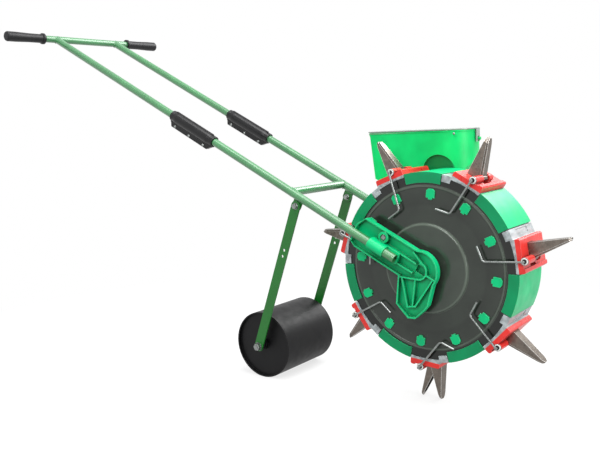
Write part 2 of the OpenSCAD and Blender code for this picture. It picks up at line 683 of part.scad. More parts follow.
module beak_base() difference() {
  union() {
    across(wheel_w) polygon([[-base_ahead, seat_r], [-base_ahead, base_top - edge_cut], [-base_ahead + edge_cut, base_top],
      [base_back - bar_w, base_top], [base_back - bar_w, base_top + bar_rise],
      [base_back - edge_cut, base_top + bar_rise], [base_back, base_top + bar_rise - edge_cut], [base_back, seat_r]]);
    for (y = [[-half_w, beak_y - window_w / 2], [beak_y + window_w / 2, beak_y + window_w / 2 + barrel_l]])
      translate([0, 0, pin_circle_r]) rod_y(y[0], y[1], barrel_r);
  }
  translate([-root_set - window_gap, beak_y - window_w / 2, 0])
    cube([root_set + window_gap + base_back - bar_w, window_w, big]);
  translate([-root_set - flange_l - half_gap, beak_y - root_w / 2 - half_gap, seat_r - 1])
    cube([flange_l + 2 * half_gap, root_w + 2 * half_gap, sheet_t + 1]);
  translate([0, 0, pin_circle_r]) rod_y(-big, big, pin_d / 2 + run_gap);
}

// ---- beaks ----
// Both halves of a beak are bent from sheet. Their side outlines give the distance ahead of
// the pin and from the wheel's middle, their front outline gives the width at each height.
ear_r = pin_d / 2 + 3;
flap_tip_r = pin_circle_r + flap_len * cos(atan(flap_tip_set / tip_out));
flap_tip_t = flap_len * sin(atan(flap_tip_set / tip_out));
back_shift = sheet_t / cos(atan(flap_tip_set / tip_out));
nose_r = tip_reach - nose_l;
module beak_side(points) across(big) mirror([1, 0]) polygon(points);
function beak_widths() = [[root_w, 0], [root_w, pin_circle_r], [tip_w, nose_r],
  [tip_w * 0.7 + nose_w * 0.3, nose_r + nose_l * 0.6], [nose_w, tip_reach], [nose_w, tip_reach + 1]];
module beak_front(cut, low, high) translate([-big / 2, beak_y, 0]) rotate([90, 0, 90]) linear_extrude(height = big)
  intersection() {
    union() for (side = [-1, 1]) polygon(concat([[0, tip_reach + 1], [0, 0]],
      [for (p = beak_widths()) [side * (p[0] / 2 - cut), p[1]]]));
    translate([-big / 2, low]) square([big, high - low]);
  }
module fixed_beak() {
  difference() {
    intersection() {
      beak_side([[edge_set, seat_r], [root_set, seat_r], [tip_set, tip_reach],
        [tip_set - 2 * sheet_t, tip_reach], [edge_set, pin_circle_r + ear_r]]);
      beak_front(0, seat_r, tip_reach);
    }
    intersection() {
      beak_side([[-big, 0], [root_set - sheet_t, 0], [root_set - sheet_t, seat_r],
        [tip_set - sheet_t, tip_reach], [tip_set - sheet_t, big], [-big, big]]);
      beak_front(sheet_t, seat_r - 1, tip_reach + 1);
    }
  }
  translate([-root_set - flange_l, beak_y - root_w / 2, seat_r]) cube([flange_l + sheet_t, root_w, sheet_t]);
}
module fixed_beaks() color(steel) for (i = [0 : beak_count - 1]) at_beak(i) fixed_beak();
module flap_shape() difference() {
  union() {
    intersection() {
      beak_side([[-sheet_t, pin_circle_r], [-sheet_t, pin_circle_r + sheet_t], [flap_tip_t - 2 * sheet_t, flap_tip_r - sheet_t],
        [flap_tip_t, flap_tip_r], [flap_set, pin_circle_r - sheet_t], [0, pin_circle_r - sheet_t]]);
      beak_front(sheet_t + half_gap, 0, tip_reach);
    }
    translate([0, beak_y, pin_circle_r]) rod_y(-root_w / 2 + sheet_t + half_gap, root_w / 2 - sheet_t - half_gap, ear_r);
  }
  intersection() {
    beak_side([[-big, 0], [-sheet_t + back_shift, pin_circle_r + sheet_t],
      [flap_tip_t - 2 * sheet_t + back_shift, flap_tip_r - sheet_t], [big, flap_tip_r], [big, 0]]);
    beak_front(2 * sheet_t + half_gap, 0, flap_tip_r - nose_w);
  }
  translate([0, 0, pin_circle_r]) rod_y(-big, big, pin_d / 2);
}
// A wire that runs straight, turns by an angle about y and runs straight again.
module bent_wire(leg, turn, hook, d, bend_r) {
  core_d = d - 0.8;
  cylinder(d = d, h = leg);
  translate([0, 0, leg - 1]) cylinder(d = core_d, h = 2);
  translate([bend_r, 0, leg]) rotate([90, 0, 0]) rotate([0, 0, 180 - turn]) rotate_extrude(angle = turn)
    translate([bend_r, 0]) circle(d = d);
  translate([bend_r * (1 - cos(turn)), 0, leg + bend_r * sin(turn)]) rotate([0, turn, 0]) {
    cylinder(d = d, h = hook);
    translate([0, 0, -1]) cylinder(d = core_d, h = 2);
  }
}
module lever_shape() translate([0, 0, pin_circle_r]) {
  rod_y(lever_y - wire_d / 2 - 1, beak_y + window_w / 2 + barrel_l + 1, pin_d / 2);
  rod_y(-half_w - 3, -half_w - side_gap, barrel_r);
  translate([0, lever_y, 0]) rotate([0, 180 + lever_lean, 0])
    bent_wire(lever_leg - bend_r, lever_turn, lever_hook - bend_r / 2, wire_d, bend_r);
}
module open_if(i) translate([0, 0, pin_circle_r]) rotate([0, is_open(i) ? open_angle : 0, 0])
  translate([0, 0, -pin_circle_r]) children();
module flap(i) color(steel) at_beak(i) open_if(i) flap_shape();
module lever(i) color(steel) at_beak(i) open_if(i) lever_shape();

clip_w = 22;
clip_h = 18;
clip_tab_w = 10;
clip_tab_h = 4;
module clip() across(lip_t + 1, false) {
  translate([-clip_w / 2, -clip_h / 2]) square([clip_w, clip_h]);
  intersection() {
    translate([0, clip_h / 2 - 6]) circle(r = clip_w / 2);
    translate([-clip_w / 2, 0]) square([clip_w, clip_h / 2 + 4]);
  }
  translate([-clip_tab_w / 2, -clip_h / 2 - clip_tab_h]) square([clip_tab_w, clip_tab_h + 1]);
}
module clips(side) color(green) at_axle() mirror([0, side < 0 ? 0 : 1, 0]) for (k = [0 : 11])
  rotate([0, 30 * k + 5.6, 0]) translate([0, -half_w - face_z, clip_circle_r]) clip();

handle_bar();
grip(1);  // grip_left
grip(-1);  // grip_right
upper_tube(1);  // upper_tube_left
upper_tube(-1);  // upper_tube_right
clamp(1);  // clamp_left
clamp(-1);  // clamp_right
lower_tube(1);  // lower_tube_left
lower_tube(-1);  // lower_tube_right
cross_tube();
bracket(1);  // bracket_left
bracket(-1);  // bracket_right
axle();
strap(1);  // strap_left
strap_tab(1);  // strap_tab_left
strap_tab(-1);  // strap_tab_right
strap(-1);  // strap_right
roller_axle();
roller();
hopper();
hopper_neck();
hopper_lid();
lid_pin();
drum();
disc(1, inlet_r + 6);  // disc_left
disc(-1, hub_r);  // disc_right
hub();
rim_segments();
outlet_housings();
beak_bases();
fixed_beaks();
clips(1);  // clips_left
clips(-1);  // clips_right
flap(0);  // flap_a
flap(1);  // flap_b
flap(2);  // flap_c
flap(3);  // flap_d
flap(4);  // flap_e
flap(5);  // flap_f
flap(6);  // flap_g
lever(0);  // lever_a
lever(1);  // lever_b
lever(2);  // lever_c
lever(3);  // lever_d
lever(4);  // lever_e
lever(5);  // lever_f
lever(6);  // lever_g
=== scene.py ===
"""Looks of a hand-push dibble wheel seeder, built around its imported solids.

X points forward, Y to the left and Z up. Lengths are in metres, unless a name or a comment says otherwise.
"""
import json
import math

import bmesh
import bpy
from mathutils import Matrix, Vector


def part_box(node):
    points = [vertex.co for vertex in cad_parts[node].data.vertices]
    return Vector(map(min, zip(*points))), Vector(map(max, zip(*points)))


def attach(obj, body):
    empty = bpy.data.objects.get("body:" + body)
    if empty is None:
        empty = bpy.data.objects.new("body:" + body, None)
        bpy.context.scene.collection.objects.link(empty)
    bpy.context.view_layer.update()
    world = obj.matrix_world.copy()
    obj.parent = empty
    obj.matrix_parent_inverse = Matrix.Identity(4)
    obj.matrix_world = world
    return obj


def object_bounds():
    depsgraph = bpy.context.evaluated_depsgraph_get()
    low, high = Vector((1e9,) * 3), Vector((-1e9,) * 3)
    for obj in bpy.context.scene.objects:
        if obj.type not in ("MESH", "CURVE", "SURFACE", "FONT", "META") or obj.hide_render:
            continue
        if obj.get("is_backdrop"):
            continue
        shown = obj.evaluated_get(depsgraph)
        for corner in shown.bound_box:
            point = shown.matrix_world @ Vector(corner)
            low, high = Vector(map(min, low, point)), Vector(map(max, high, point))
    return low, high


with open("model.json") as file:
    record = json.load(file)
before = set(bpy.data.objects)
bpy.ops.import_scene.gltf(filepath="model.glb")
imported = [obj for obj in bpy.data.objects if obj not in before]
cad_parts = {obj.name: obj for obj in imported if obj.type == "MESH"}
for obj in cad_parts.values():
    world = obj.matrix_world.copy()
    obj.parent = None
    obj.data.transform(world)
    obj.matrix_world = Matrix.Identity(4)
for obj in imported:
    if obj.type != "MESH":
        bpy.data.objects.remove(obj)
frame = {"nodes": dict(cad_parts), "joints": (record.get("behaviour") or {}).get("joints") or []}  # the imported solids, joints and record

bl_info = {
    "name": "Dibble wheel seeder",
    "version": (1, 0, 0),
    "blender": (4, 5, 0),
    "location": "View3D > Sidebar > Seeder",
    "description": "Finishes, fastenings and studio for a hand-push dibble wheel seeder",
    "category": "Add Mesh",
}

# ---- places, read from the frame ----
def middle(node):
    """Middle of a node's box."""
    low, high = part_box(node)
    return (low + high) / 2


NODES = frame["nodes"]
JOINTS = {joint["name"]: joint for joint in frame["joints"]}
BEAKS = "abcdefg"
SIDES = {"left": 1, "right": -1}
ACROSS = Vector((0, 1, 0))
AXLE = Vector(JOINTS["wheel_spin"]["pos_m"])
ROLLER = Vector(JOINTS["roller_spin"]["pos_m"])
HANDLE = middle("handle_bar") - AXLE
HANDLE_LENGTH = HANDLE.length
UP_HANDLE = HANDLE.normalized()
OFF_HANDLE = ACROSS.cross(UP_HANDLE)
TUBE_Y = middle("lower_tube_left").y
TUBE_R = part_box("lower_tube_left")[1].y - TUBE_Y
WHEEL_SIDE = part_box("rim_segments")[1].y

# ---- where small parts stand on the solids, in metres ----
# Screws along a clamp, as shares of its length, and their height over its flange's lower edge
CLAMP_SCREWS = (0.19, 0.53, 0.87)
CLAMP_SCREW_RISE = 0.0055
CLAMP_FLANGE = 0.012
# The roller's flat bars, and the tabs that carry them
STRAP_WIDTH = 0.028
TAB_THICKNESS = 0.004
TAB_END_GAP = 0.003
# Floor of the near bracket's pocket: up the handle, square to it and across
BRACKET_POCKET = (0.1175, 0.026, -0.105)
# A lever's white bush, the black ring inside it that darkens its middle, and the ring on the pin's far end. A
# wall is measured outwards from the pin and a width along it. The bush reaches past the rim's side, and the far
# ring's middle is short of the end.
BUSH_WALL = 0.003
BUSH_WIDTH = 0.0024
BUSH_REACH = 0.003
DARK_RING_WALL = 0.0016
DARK_RING_WIDTH = 0.0026
DARK_RING_GAP = 0.0001
RING_RADIUS = 0.0038
RING_WALL = 0.001
RING_WIDTH = 0.0026
RING_INSET = 0.0004
# The discs lie a little inside the rim. Each has a raised crown round its bore, sunk a little into its face.
DISC_FACE_DEPTH = 0.001
CROWN_RADIUS = 0.1055
CROWN_RISE = 0.0052
CROWN_BORES = {"left": 0.0505, "right": 0.0245}
CROWN_DEPTH_AT_EDGE = 0.0005
CROWN_DEPTH_AT_BORE = 0.003
# The hopper's mouth, from the axle, with its round front corners and the lid's edge past it
HOPPER_FRONT = AXLE.x + 0.037
HOPPER_BACK = AXLE.x - 0.240
HOPPER_CORNER = 0.066
LID_OVERHANG = 0.002
LIP_DROP = 0.0006
LIP_THICKNESS = 0.0026
# The round recess low on the hopper's near face, which gets painted shade, and the screw near its mouth
HOPPER_RECESS = AXLE + Vector((-0.038, 0.086, 0.222))
HOPPER_RECESS_RADIUS = 0.0455
HOPPER_SCREW = AXLE + Vector((0.0077, 0.0808, 0.319))
# Steps round a crown, round a weld and round a corner of the hopper
TURN_STEPS = 96
SEAM_STEPS = 32
CORNER_STEPS = 12


def reach(node, direction):
    """The lowest and highest distance of a node from the axle along a direction."""
    along = [(vertex.co - AXLE).dot(direction) for vertex in NODES[node].data.vertices]
    return min(along), max(along)


def on_handle(up, off, across):
    """A place so far up the handle from the axle, so far square to it and so far to the left."""
    return AXLE + UP_HANDLE * up + OFF_HANDLE * off + ACROSS * across


# ---- colours and nodes ----
def linear(hex_colour):
    """An sRGB hex colour as linear RGBA."""
    def channel(text):
        value = int(text, 16) / 255
        return value / 12.92 if value <= 0.04045 else ((value + 0.055) / 1.055) ** 2.4
    return tuple(channel(hex_colour[i:i + 2]) for i in (1, 3, 5)) + (1.0,)


def shade(colour, factor):
    """A colour made so many times as bright."""
    return tuple(min(1.0, part * factor) for part in colour[:3]) + (1.0,)


def pale(colour):
    """A colour half-way to white."""
    return tuple((part + 1) / 2 for part in colour[:3]) + (1.0,)


# Settings of common nodes. A colour mix has its factor at input 0 and its two colours at inputs 6 and 7.
COLOUR_MIX = {"data_type": "RGBA"}
COLOUR_TIMES = {"data_type": "RGBA", "blend_type": "MULTIPLY"}
TIMES = {"operation": "MULTIPLY"}
PLUS = {"operation": "ADD"}
LARGER = {"operation": "MAXIMUM"}


def add_node(tree, kind, settings=None, links=None):
    """Adds a node. Settings are its attributes. Links are its inputs, by name or number. Each is a value, a
    socket, a node whose first output is meant, or a list of these."""
    made = tree.nodes.new(kind)
    for name, value in (settings or {}).items():
        setattr(made, name, value)
    for key, value in (links or {}).items():
        for part in value if isinstance(value, list) else [value]:
            if isinstance(part, bpy.types.Node):
                part = part.outputs[0]
            if isinstance(part, bpy.types.NodeSocket):
                tree.links.new(part, made.inputs[key])
            else:
                made.inputs[key].default_value = part
    return made


# ---- settings ----
def colour_setting(name, description, hex_colour):
    return bpy.props.FloatVectorProperty(name=name, description=description, subtype="COLOR", size=4,
                                         min=0, max=1, default=linear(hex_colour))


def length_setting(name, description, metres):
    return bpy.props.FloatProperty(name=name, description=description, default=metres, min=0, unit="LENGTH")


class SeederPaints(bpy.types.PropertyGroup):
    """Colours of the seeder's finishes."""
    tube: colour_setting("Tube paint", "Gloss paint on the handle's tubes", "#408551")
    bars: colour_setting("Bar paint", "Paint on the roller's flat bars", "#0E6A1C")
    rim: colour_setting("Rim plastic", "Moulded plastic of the rim, brackets and clips", "#00C57C")
    hopper: colour_setting("Hopper plastic", "Moulded plastic of the hopper", "#00D570")
    base: colour_setting("Beak base plastic", "Moulded plastic of the beak bases", "#E4302A")
    smoke: colour_setting("Smoked plastic", "Smoked plastic of the discs and drum", "#353C35")
    lid: colour_setting("Lid plastic", "Thin greyish plastic of the hopper lid", "#98A39C")
    milky: colour_setting("Milky plastic", "Milky clear plastic of the outlet housings", "#B4BCBE")
    black: colour_setting("Black plastic", "Moulded plastic of the clamps and hub", "#08080B")
    rubber: colour_setting("Grip rubber", "Rubber of the hand grips", "#090A0E")
    roller: colour_setting("Roller plastic", "Black plastic of the press roller", "#0A0A0C")
    beak: colour_setting("Beak steel", "Pressed steel of the beaks", "#7C746C")
    wire: colour_setting("Zinc plate", "Zinc-plated wire, axles and fastenings", "#9A9E9C")
    bush: colour_setting("White nylon", "Bushes round the lever pins", "#E8E9E4")


class SeederSizes(bpy.types.PropertyGroup):
    """Sizes of the seeder's small parts."""
    nut: length_setting("Nut", "Width of an 8 mm nut over its corners", 0.0148)
    axle_nut: length_setting("Axle nut", "Width of a 12 mm nut over its corners", 0.0215)
    screw: length_setting("Clamp screw", "Width of a clamp screw's head", 0.0095)
    bead: length_setting("Weld bead", "Width of the weld where two tubes meet", 0.0044)
    bush: length_setting("Lever bush", "Width of the white bush round a lever's pin", 0.0161)
    lip: length_setting("Hopper lip", "Height of the moulded lip round the hopper's mouth", 0.004)


class SeederStudio(bpy.types.PropertyGroup):
    """Camera and lights of the studio."""
    lens: bpy.props.FloatProperty(name="Lens", description="Focal length on a 36 mm sensor, in millimetres",
                                  default=45.83, min=10)
    key: bpy.props.FloatProperty(name="Key light", description="Strength of the soft key light, in watts",
                                 default=145, min=0)
    sky: bpy.props.FloatProperty(name="Sky", description="Strength of the light from all round",
                                 default=0.6, min=0)


# ---- materials ----
# Sizes of the finishes' patterns, in millimetres. The real moulded grain is finer: this one shows.
FLOW_MARKS = 60.0
RUBBED_SPOTS = 25.0
MOULDED_GRAIN = 0.8
PAINT_DRIFT = 90.0
PAINT_CHIPS = 12.0
DISC_CLOUDS = 70.0
DISC_DUST = 14.0
DISC_WAVES = 30.0
ROLLED_SPOTS = 12.0
STEEL_SCRATCHES = 3.0
GRIP_DRIFT = 20.0
GRIP_PEBBLES = 1.6
# Streaks in a metre of milky plastic: fine round the wheel and long across it
STREAKS = (60, 14, 60)
# Roundness of edges, in metres
MOULDED_EDGE = 0.0008
DISC_EDGE = 0.001
STEEL_EDGE = 0.002
# How far the painted shade of the hopper's recess takes to fade at its edge, in metres
RECESS_FADE = 0.003
# Colour of the steel's bright edges, partly wear and partly painted highlight
BRIGHT_STEEL = (0.9, 0.9, 0.88, 1.0)


def new_material(name):
    material = bpy.data.materials.new(name)
    material.use_nodes = True
    material.node_tree.nodes.clear()
    return material, material.node_tree


def finish_material(tree, shader):
    add_node(tree, "ShaderNodeOutputMaterial", links={"Surface": shader})


def place_mm(tree, grain_mm):
    """Object coordinates counted in grains of so many millimetres."""
    place = add_node(tree, "ShaderNodeTexCoord").outputs["Object"]
    return add_node(tree, "ShaderNodeVectorMath", {"operation": "SCALE"}, {
        0: place, "Scale": 1000 / grain_mm})


def clouded(tree, colour, grain_mm, tint):
    """A colour that drifts darker and lighter over patches of about so many millimetres."""
    drift = add_node(tree, "ShaderNodeTexNoise", links={"Vector": place_mm(tree, grain_mm), "Scale": 1.0})
    share = add_node(tree, "ShaderNodeMapRange", links={
        "Value": drift.outputs["Fac"], "From Min": 0.35, "From Max": 0.65})
    return add_node(tree, "ShaderNodeMix", COLOUR_MIX, {
        0: share, 6: shade(colour, 1 - tint), 7: shade(colour, 1 + tint)}).outputs[2]


def edge_wear_and_highlight(tree, rounded, sharpest, edge_highlight_and_wear):
    """How much paler an edge is painted, up to the given most, which grows as the rounded normal turns away
    from the face's own: a painted highlight, and on steel also wear.
    """
    face = add_node(tree, "ShaderNodeNewGeometry").outputs["True Normal"]
    bend = add_node(tree, "ShaderNodeVectorMath", {"operation": "DOT_PRODUCT"}, {0: rounded, 1: face})
    return add_node(tree, "ShaderNodeMapRange", links={
        "Value": bend.outputs["Value"], "From Min": sharpest, "From Max": 0.8, "To Max": edge_highlight_and_wear})


def painted_recess_shade(tree, paint, dark, centre, radius):
    """Painted shade: paint that turns dark within a radius of a place, in a round recess."""
    place = add_node(tree, "ShaderNodeTexCoord").outputs["Object"]
    distance = add_node(tree, "ShaderNodeVectorMath", {"operation": "DISTANCE"}, {0: place, 1: centre})
    outside = add_node(tree, "ShaderNodeMapRange", links={
        "Value": distance.outputs["Value"], "From Min": radius - RECESS_FADE, "From Max": radius})
    return add_node(tree, "ShaderNodeMix", COLOUR_MIX, {0: outside, 6: dark, 7: paint}).outputs[2]


def painted_side_shade(tree, paint, kept):
    """Painted shade: paint that keeps only a share of its brightness on faces that look to the seeder's left or
    right.
    """
    face = add_node(tree, "ShaderNodeNewGeometry").outputs["True Normal"]
    parts = add_node(tree, "ShaderNodeSeparateXYZ", links={0: face})
    sideways = add_node(tree, "ShaderNodeMath", {"operation": "ABSOLUTE"}, {0: parts.outputs["Y"]})
    side_shade = add_node(tree, "ShaderNodeMapRange", links={
        "Value": sideways, "From Min": 0.8, "From Max": 0.95, "To Min": 1.0, "To Max": kept})
    return add_node(tree, "ShaderNodeMix", COLOUR_TIMES, {0: 1.0, 6: paint, 7: side_shade}).outputs[2]


def painted_corner_shade(tree, paint):
    """Painted shade: paint that darkens in the piece's own corners, where ambient occlusion is strong."""
    corner = add_node(tree, "ShaderNodeAmbientOcclusion", {"samples": 8, "only_local": True}, {
        "Distance": 0.025})
    corner_shade = add_node(tree, "ShaderNodeMapRange", links={
        "Value": corner.outputs["AO"], "From Min": 0.35, "From Max": 0.95, "To Min": 0.4, "To Max": 1.0})
    return add_node(tree, "ShaderNodeMix", COLOUR_TIMES, {0: 1.0, 6: paint, 7: corner_shade}).outputs[2]


def moulded_plastic(name, colour, roughness, bump=0.1, specular=0.5, tint=0.1, edge_highlight_and_wear=0.6, recess=None,
                    sides=1.0):
    """Injection-moulded polypropylene or ABS: even colour, a soft sheen, faint flow marks and rubbed spots.
    Its edges get a painted highlight and its corners painted shade. Faces that look to the left or right keep
    only a share of their brightness, given by sides, as painted shade. A recess, given by its centre and
    radius, gets painted shade."""
    material, tree = new_material(name)
    paint = clouded(tree, colour, FLOW_MARKS, tint)
    # Painted shade in a round recess
    if recess:
        paint = painted_recess_shade(tree, paint, shade(colour, 0.3), *recess)
    rub = add_node(tree, "ShaderNodeTexNoise", links={
        "Vector": place_mm(tree, RUBBED_SPOTS), "Scale": 1.0, "Detail": 5.0})
    rough = add_node(tree, "ShaderNodeMapRange", links={
        "Value": rub.outputs["Fac"], "From Min": 0.3, "From Max": 0.7,
        "To Min": roughness - 0.06, "To Max": roughness + 0.08})
    grain = add_node(tree, "ShaderNodeTexNoise", links={
        "Vector": place_mm(tree, MOULDED_GRAIN), "Scale": 1.0})
    edge = add_node(tree, "ShaderNodeBevel", {"samples": 8}, {"Radius": MOULDED_EDGE})
    skin = add_node(tree, "ShaderNodeBump", links={
        "Height": grain.outputs["Fac"], "Strength": bump, "Distance": 0.0002, "Normal": edge})
    # Painted highlight on the rounded edges
    paint = add_node(tree, "ShaderNodeMix", COLOUR_MIX, {
        0: edge_wear_and_highlight(tree, edge, 0.97, edge_highlight_and_wear), 6: paint, 7: pale(colour)}).outputs[2]
    # Painted shade on the faces that look to the left or right
    if sides < 1:
        paint = painted_side_shade(tree, paint, sides)
    shader = add_node(tree, "ShaderNodeBsdfPrincipled", links={
        "Base Color": painted_corner_shade(tree, paint), "Roughness": rough, "IOR": 1.5,
        "Specular IOR Level": specular, "Normal": skin})
    finish_material(tree, shader)
    return material


def gloss_paint(name, colour, coat=0.9):
    """Gloss paint over steel: a clear sheen and a few small darker chips."""
    material, tree = new_material(name)
    wear = add_node(tree, "ShaderNodeTexNoise", links={
        "Vector": place_mm(tree, PAINT_CHIPS), "Scale": 1.0, "Detail": 3.0, "Roughness": 0.6})
    chips = add_node(tree, "ShaderNodeMapRange", links={
        "Value": wear.outputs["Fac"], "From Min": 0.74, "From Max": 0.77})
    worn = add_node(tree, "ShaderNodeMix", COLOUR_MIX, {
        0: chips, 6: clouded(tree, colour, PAINT_DRIFT, 0.1), 7: shade(colour, 0.35)})
    shader = add_node(tree, "ShaderNodeBsdfPrincipled", links={
        "Base Color": worn.outputs[2], "Roughness": 0.35, "IOR": 1.5,
        "Coat Weight": coat, "Coat Roughness": 0.2})
    finish_material(tree, shader)
    return material


# Rings of painted light and shade on the wheel's discs, as radius in millimetres and brightness: from the hub,
# through the crown and its edge, a painted highlight, to the ridge near the rim, another painted highlight, and
# the gutter outside it, painted black as shade
DISC_PAINTED_LIGHT = (
    (0, 0.8), (40, 1.2), (104, 1.35), (107, 3.0), (110, 3.0), (113, 0.85), (150, 0.86),
    (158, 0.7), (190, 0.9), (197, 1.0), (199, 2.4), (203, 2.4), (205, 0.22), (250, 0.22))


def smoked_plastic(name, colour):
    """Smoked polycarbonate: dark, with a clear gloss that dust dulls in spots. Its moulded rings, and the
    gutter outside the ridge, get painted highlights and painted shade by their radius from the axle."""
    material, tree = new_material(name)
    place = add_node(tree, "ShaderNodeTexCoord").outputs["Object"]
    flat = add_node(tree, "ShaderNodeMapping", links={
        "Vector": place, "Location": (-AXLE.x, 0, -AXLE.z), "Scale": (1, 0, 1)})
    radius = add_node(tree, "ShaderNodeVectorMath", {"operation": "LENGTH"}, {0: flat})
    widest = DISC_PAINTED_LIGHT[-1][0]
    share = add_node(tree, "ShaderNodeMath", {"operation": "DIVIDE"}, {
        0: radius.outputs["Value"], 1: widest / 1000})
    # Painted highlights and painted shade by the radius from the axle
    rings = add_node(tree, "ShaderNodeValToRGB", links={"Fac": share})
    ramp = rings.color_ramp
    for ring, brightness in DISC_PAINTED_LIGHT[1:-1]:
        ramp.elements.new(ring / widest).color = shade(colour, brightness)
    ramp.elements[0].color = shade(colour, DISC_PAINTED_LIGHT[0][1])
    ramp.elements[-1].color = shade(colour, DISC_PAINTED_LIGHT[-1][1])
    cloud = add_node(tree, "ShaderNodeTexNoise", links={"Vector": place_mm(tree, DISC_CLOUDS), "Scale": 1.0})
    drift = add_node(tree, "ShaderNodeMapRange", links={
        "Value": cloud.outputs["Fac"], "From Min": 0.35, "From Max": 0.65, "To Min": 0.78, "To Max": 1.0})
    body = add_node(tree, "ShaderNodeMix", COLOUR_TIMES, {0: 1.0, 6: rings, 7: drift})
    dust = add_node(tree, "ShaderNodeTexNoise", links={
        "Vector": place_mm(tree, DISC_DUST), "Scale": 1.0, "Detail": 8.0, "Roughness": 0.7})
    rough = add_node(tree, "ShaderNodeMapRange", links={
        "Value": dust.outputs["Fac"], "From Min": 0.45, "From Max": 0.8, "To Min": 0.16, "To Max": 0.34})
    wave = add_node(tree, "ShaderNodeTexNoise", links={"Vector": place_mm(tree, DISC_WAVES), "Scale": 1.0})
    edge = add_node(tree, "ShaderNodeBevel", {"samples": 8}, {"Radius": DISC_EDGE})
    skin = add_node(tree, "ShaderNodeBump", links={
        "Height": wave.outputs["Fac"], "Strength": 0.12, "Distance": 0.002, "Normal": edge})
    shader = add_node(tree, "ShaderNodeBsdfPrincipled", links={
        "Base Color": body.outputs[2], "Roughness": rough, "IOR": 1.58, "Specular IOR Level": 0.25,
        "Normal": skin, "Coat Weight": 0.35, "Coat Roughness": 0.06})
    finish_material(tree, shader)
    return material


def milky_plastic(name, colour):
    """Milky clear polypropylene: pale, with streaks of light along the moulding and a dull gloss.
    Light sinks in a little."""
    material, tree = new_material(name)
    place = add_node(tree, "ShaderNodeTexCoord").outputs["Object"]
    drawn = add_node(tree, "ShaderNodeMapping", links={"Vector": place, "Scale": STREAKS})
    streak = add_node(tree, "ShaderNodeTexNoise", links={"Vector": drawn, "Scale": 1.0, "Detail": 3.0})
    share = add_node(tree, "ShaderNodeMapRange", links={
        "Value": streak.outputs["Fac"], "From Min": 0.38, "From Max": 0.62})
    body = add_node(tree, "ShaderNodeMix", COLOUR_MIX, {
        0: share, 6: shade(colour, 0.6), 7: shade(colour, 1.1)})
    edge = add_node(tree, "ShaderNodeBevel", {"samples": 8}, {"Radius": MOULDED_EDGE})
    skin = add_node(tree, "ShaderNodeBump", links={
        "Height": streak.outputs["Fac"], "Strength": 0.1, "Distance": 0.0006, "Normal": edge})
    shader = add_node(tree, "ShaderNodeBsdfPrincipled", links={
        "Base Color": body.outputs[2], "Roughness": 0.3, "IOR": 1.5, "Normal": skin,
        "Subsurface Weight": 0.25, "Subsurface Radius": (0.004, 0.004, 0.004), "Subsurface Scale": 1.0})
    finish_material(tree, shader)
    return material


def pressed_steel(name, colour, roughness=0.34, edge_highlight_and_wear=0.0):
    """Pressed mild steel or zinc plate: a grey skin with lighter and darker spots and faint scratches.
    Its edges can be painted bright, partly as wear where soil rubs it and partly as a painted highlight."""
    material, tree = new_material(name)
    spots = add_node(tree, "ShaderNodeTexNoise", links={
        "Vector": place_mm(tree, ROLLED_SPOTS), "Scale": 1.0, "Detail": 6.0, "Roughness": 0.65})
    share = add_node(tree, "ShaderNodeMapRange", links={
        "Value": spots.outputs["Fac"], "From Min": 0.35, "From Max": 0.7})
    metal = add_node(tree, "ShaderNodeMix", COLOUR_MIX, {
        0: share, 6: shade(colour, 0.72), 7: shade(colour, 1.12)}).outputs[2]
    # Bright edges: wear where soil rubs the steel, and a painted highlight
    if edge_highlight_and_wear:
        edge = add_node(tree, "ShaderNodeBevel", {"samples": 8}, {"Radius": STEEL_EDGE})
        metal = add_node(tree, "ShaderNodeMix", COLOUR_MIX, {
            0: edge_wear_and_highlight(tree, edge, 0.98, edge_highlight_and_wear), 6: metal, 7: BRIGHT_STEEL}).outputs[2]
    scratch = add_node(tree, "ShaderNodeTexNoise", links={
        "Vector": place_mm(tree, STEEL_SCRATCHES), "Scale": 1.0, "Detail": 6.0})
    rough = add_node(tree, "ShaderNodeMapRange", links={
        "Value": scratch.outputs["Fac"], "From Min": 0.3, "From Max": 0.7,
        "To Min": roughness - 0.1, "To Max": roughness + 0.12})
    skin = add_node(tree, "ShaderNodeBump", links={
        "Height": scratch.outputs["Fac"], "Strength": 0.12, "Distance": 0.0002})
    shader = add_node(tree, "ShaderNodeBsdfPrincipled", links={
        "Base Color": metal, "Metallic": 1.0, "Roughness": rough, "Normal": skin})
    finish_material(tree, shader)
    return material


def grip_rubber(name, colour):
    """Moulded rubber: nearly black, matt, with a fine pebbled grain."""
    material, tree = new_material(name)
    grain = add_node(tree, "ShaderNodeTexVoronoi", links={
        "Vector": place_mm(tree, GRIP_PEBBLES), "Scale": 1.0})
    skin = add_node(tree, "ShaderNodeBump", links={
        "Height": grain.outputs["Distance"], "Strength": 0.25, "Distance": 0.0004})
    shader = add_node(tree, "ShaderNodeBsdfPrincipled", links={
        "Base Color": clouded(tree, colour, GRIP_DRIFT, 0.2), "Roughness": 0.42, "IOR": 1.52,
        "Specular IOR Level": 0.35, "Normal": skin})
    finish_material(tree, shader)
    return material


# The materials by finish, filled by the first operator
FINISHES = {}


def clad(nodes, material):
    """Gives each of the nodes one material."""
    for name in nodes:
        NODES[name].data.materials.clear()
        NODES[name].data.materials.append(material)


# The solids that have each finish
CLAD_NODES = {
    "tube": ["handle_bar", "upper_tube_left", "upper_tube_right", "lower_tube_left", "lower_tube_right",
             "cross_tube"],
    "bars": ["strap_left", "strap_right", "strap_tab_left", "strap_tab_right"],
    "rim": ["rim_segments"],
    "bracket": ["bracket_left", "bracket_right", "clips_left", "clips_right"],
    "hopper": ["hopper", "hopper_neck"],
    "base": ["beak_bases"],
    "smoke": ["drum", "disc_left", "disc_right"],
    "milky": ["outlet_housings"],
    "lid": ["hopper_lid"],
    "black": ["clamp_left", "clamp_right", "hub"],
    "rubber": ["grip_left", "grip_right"],
    "roller": ["roller"],
    "beak": ["fixed_beaks"] + ["flap_" + letter for letter in BEAKS],
    "zinc": ["axle", "roller_axle", "lid_pin"] + ["lever_" + letter for letter in BEAKS],
}


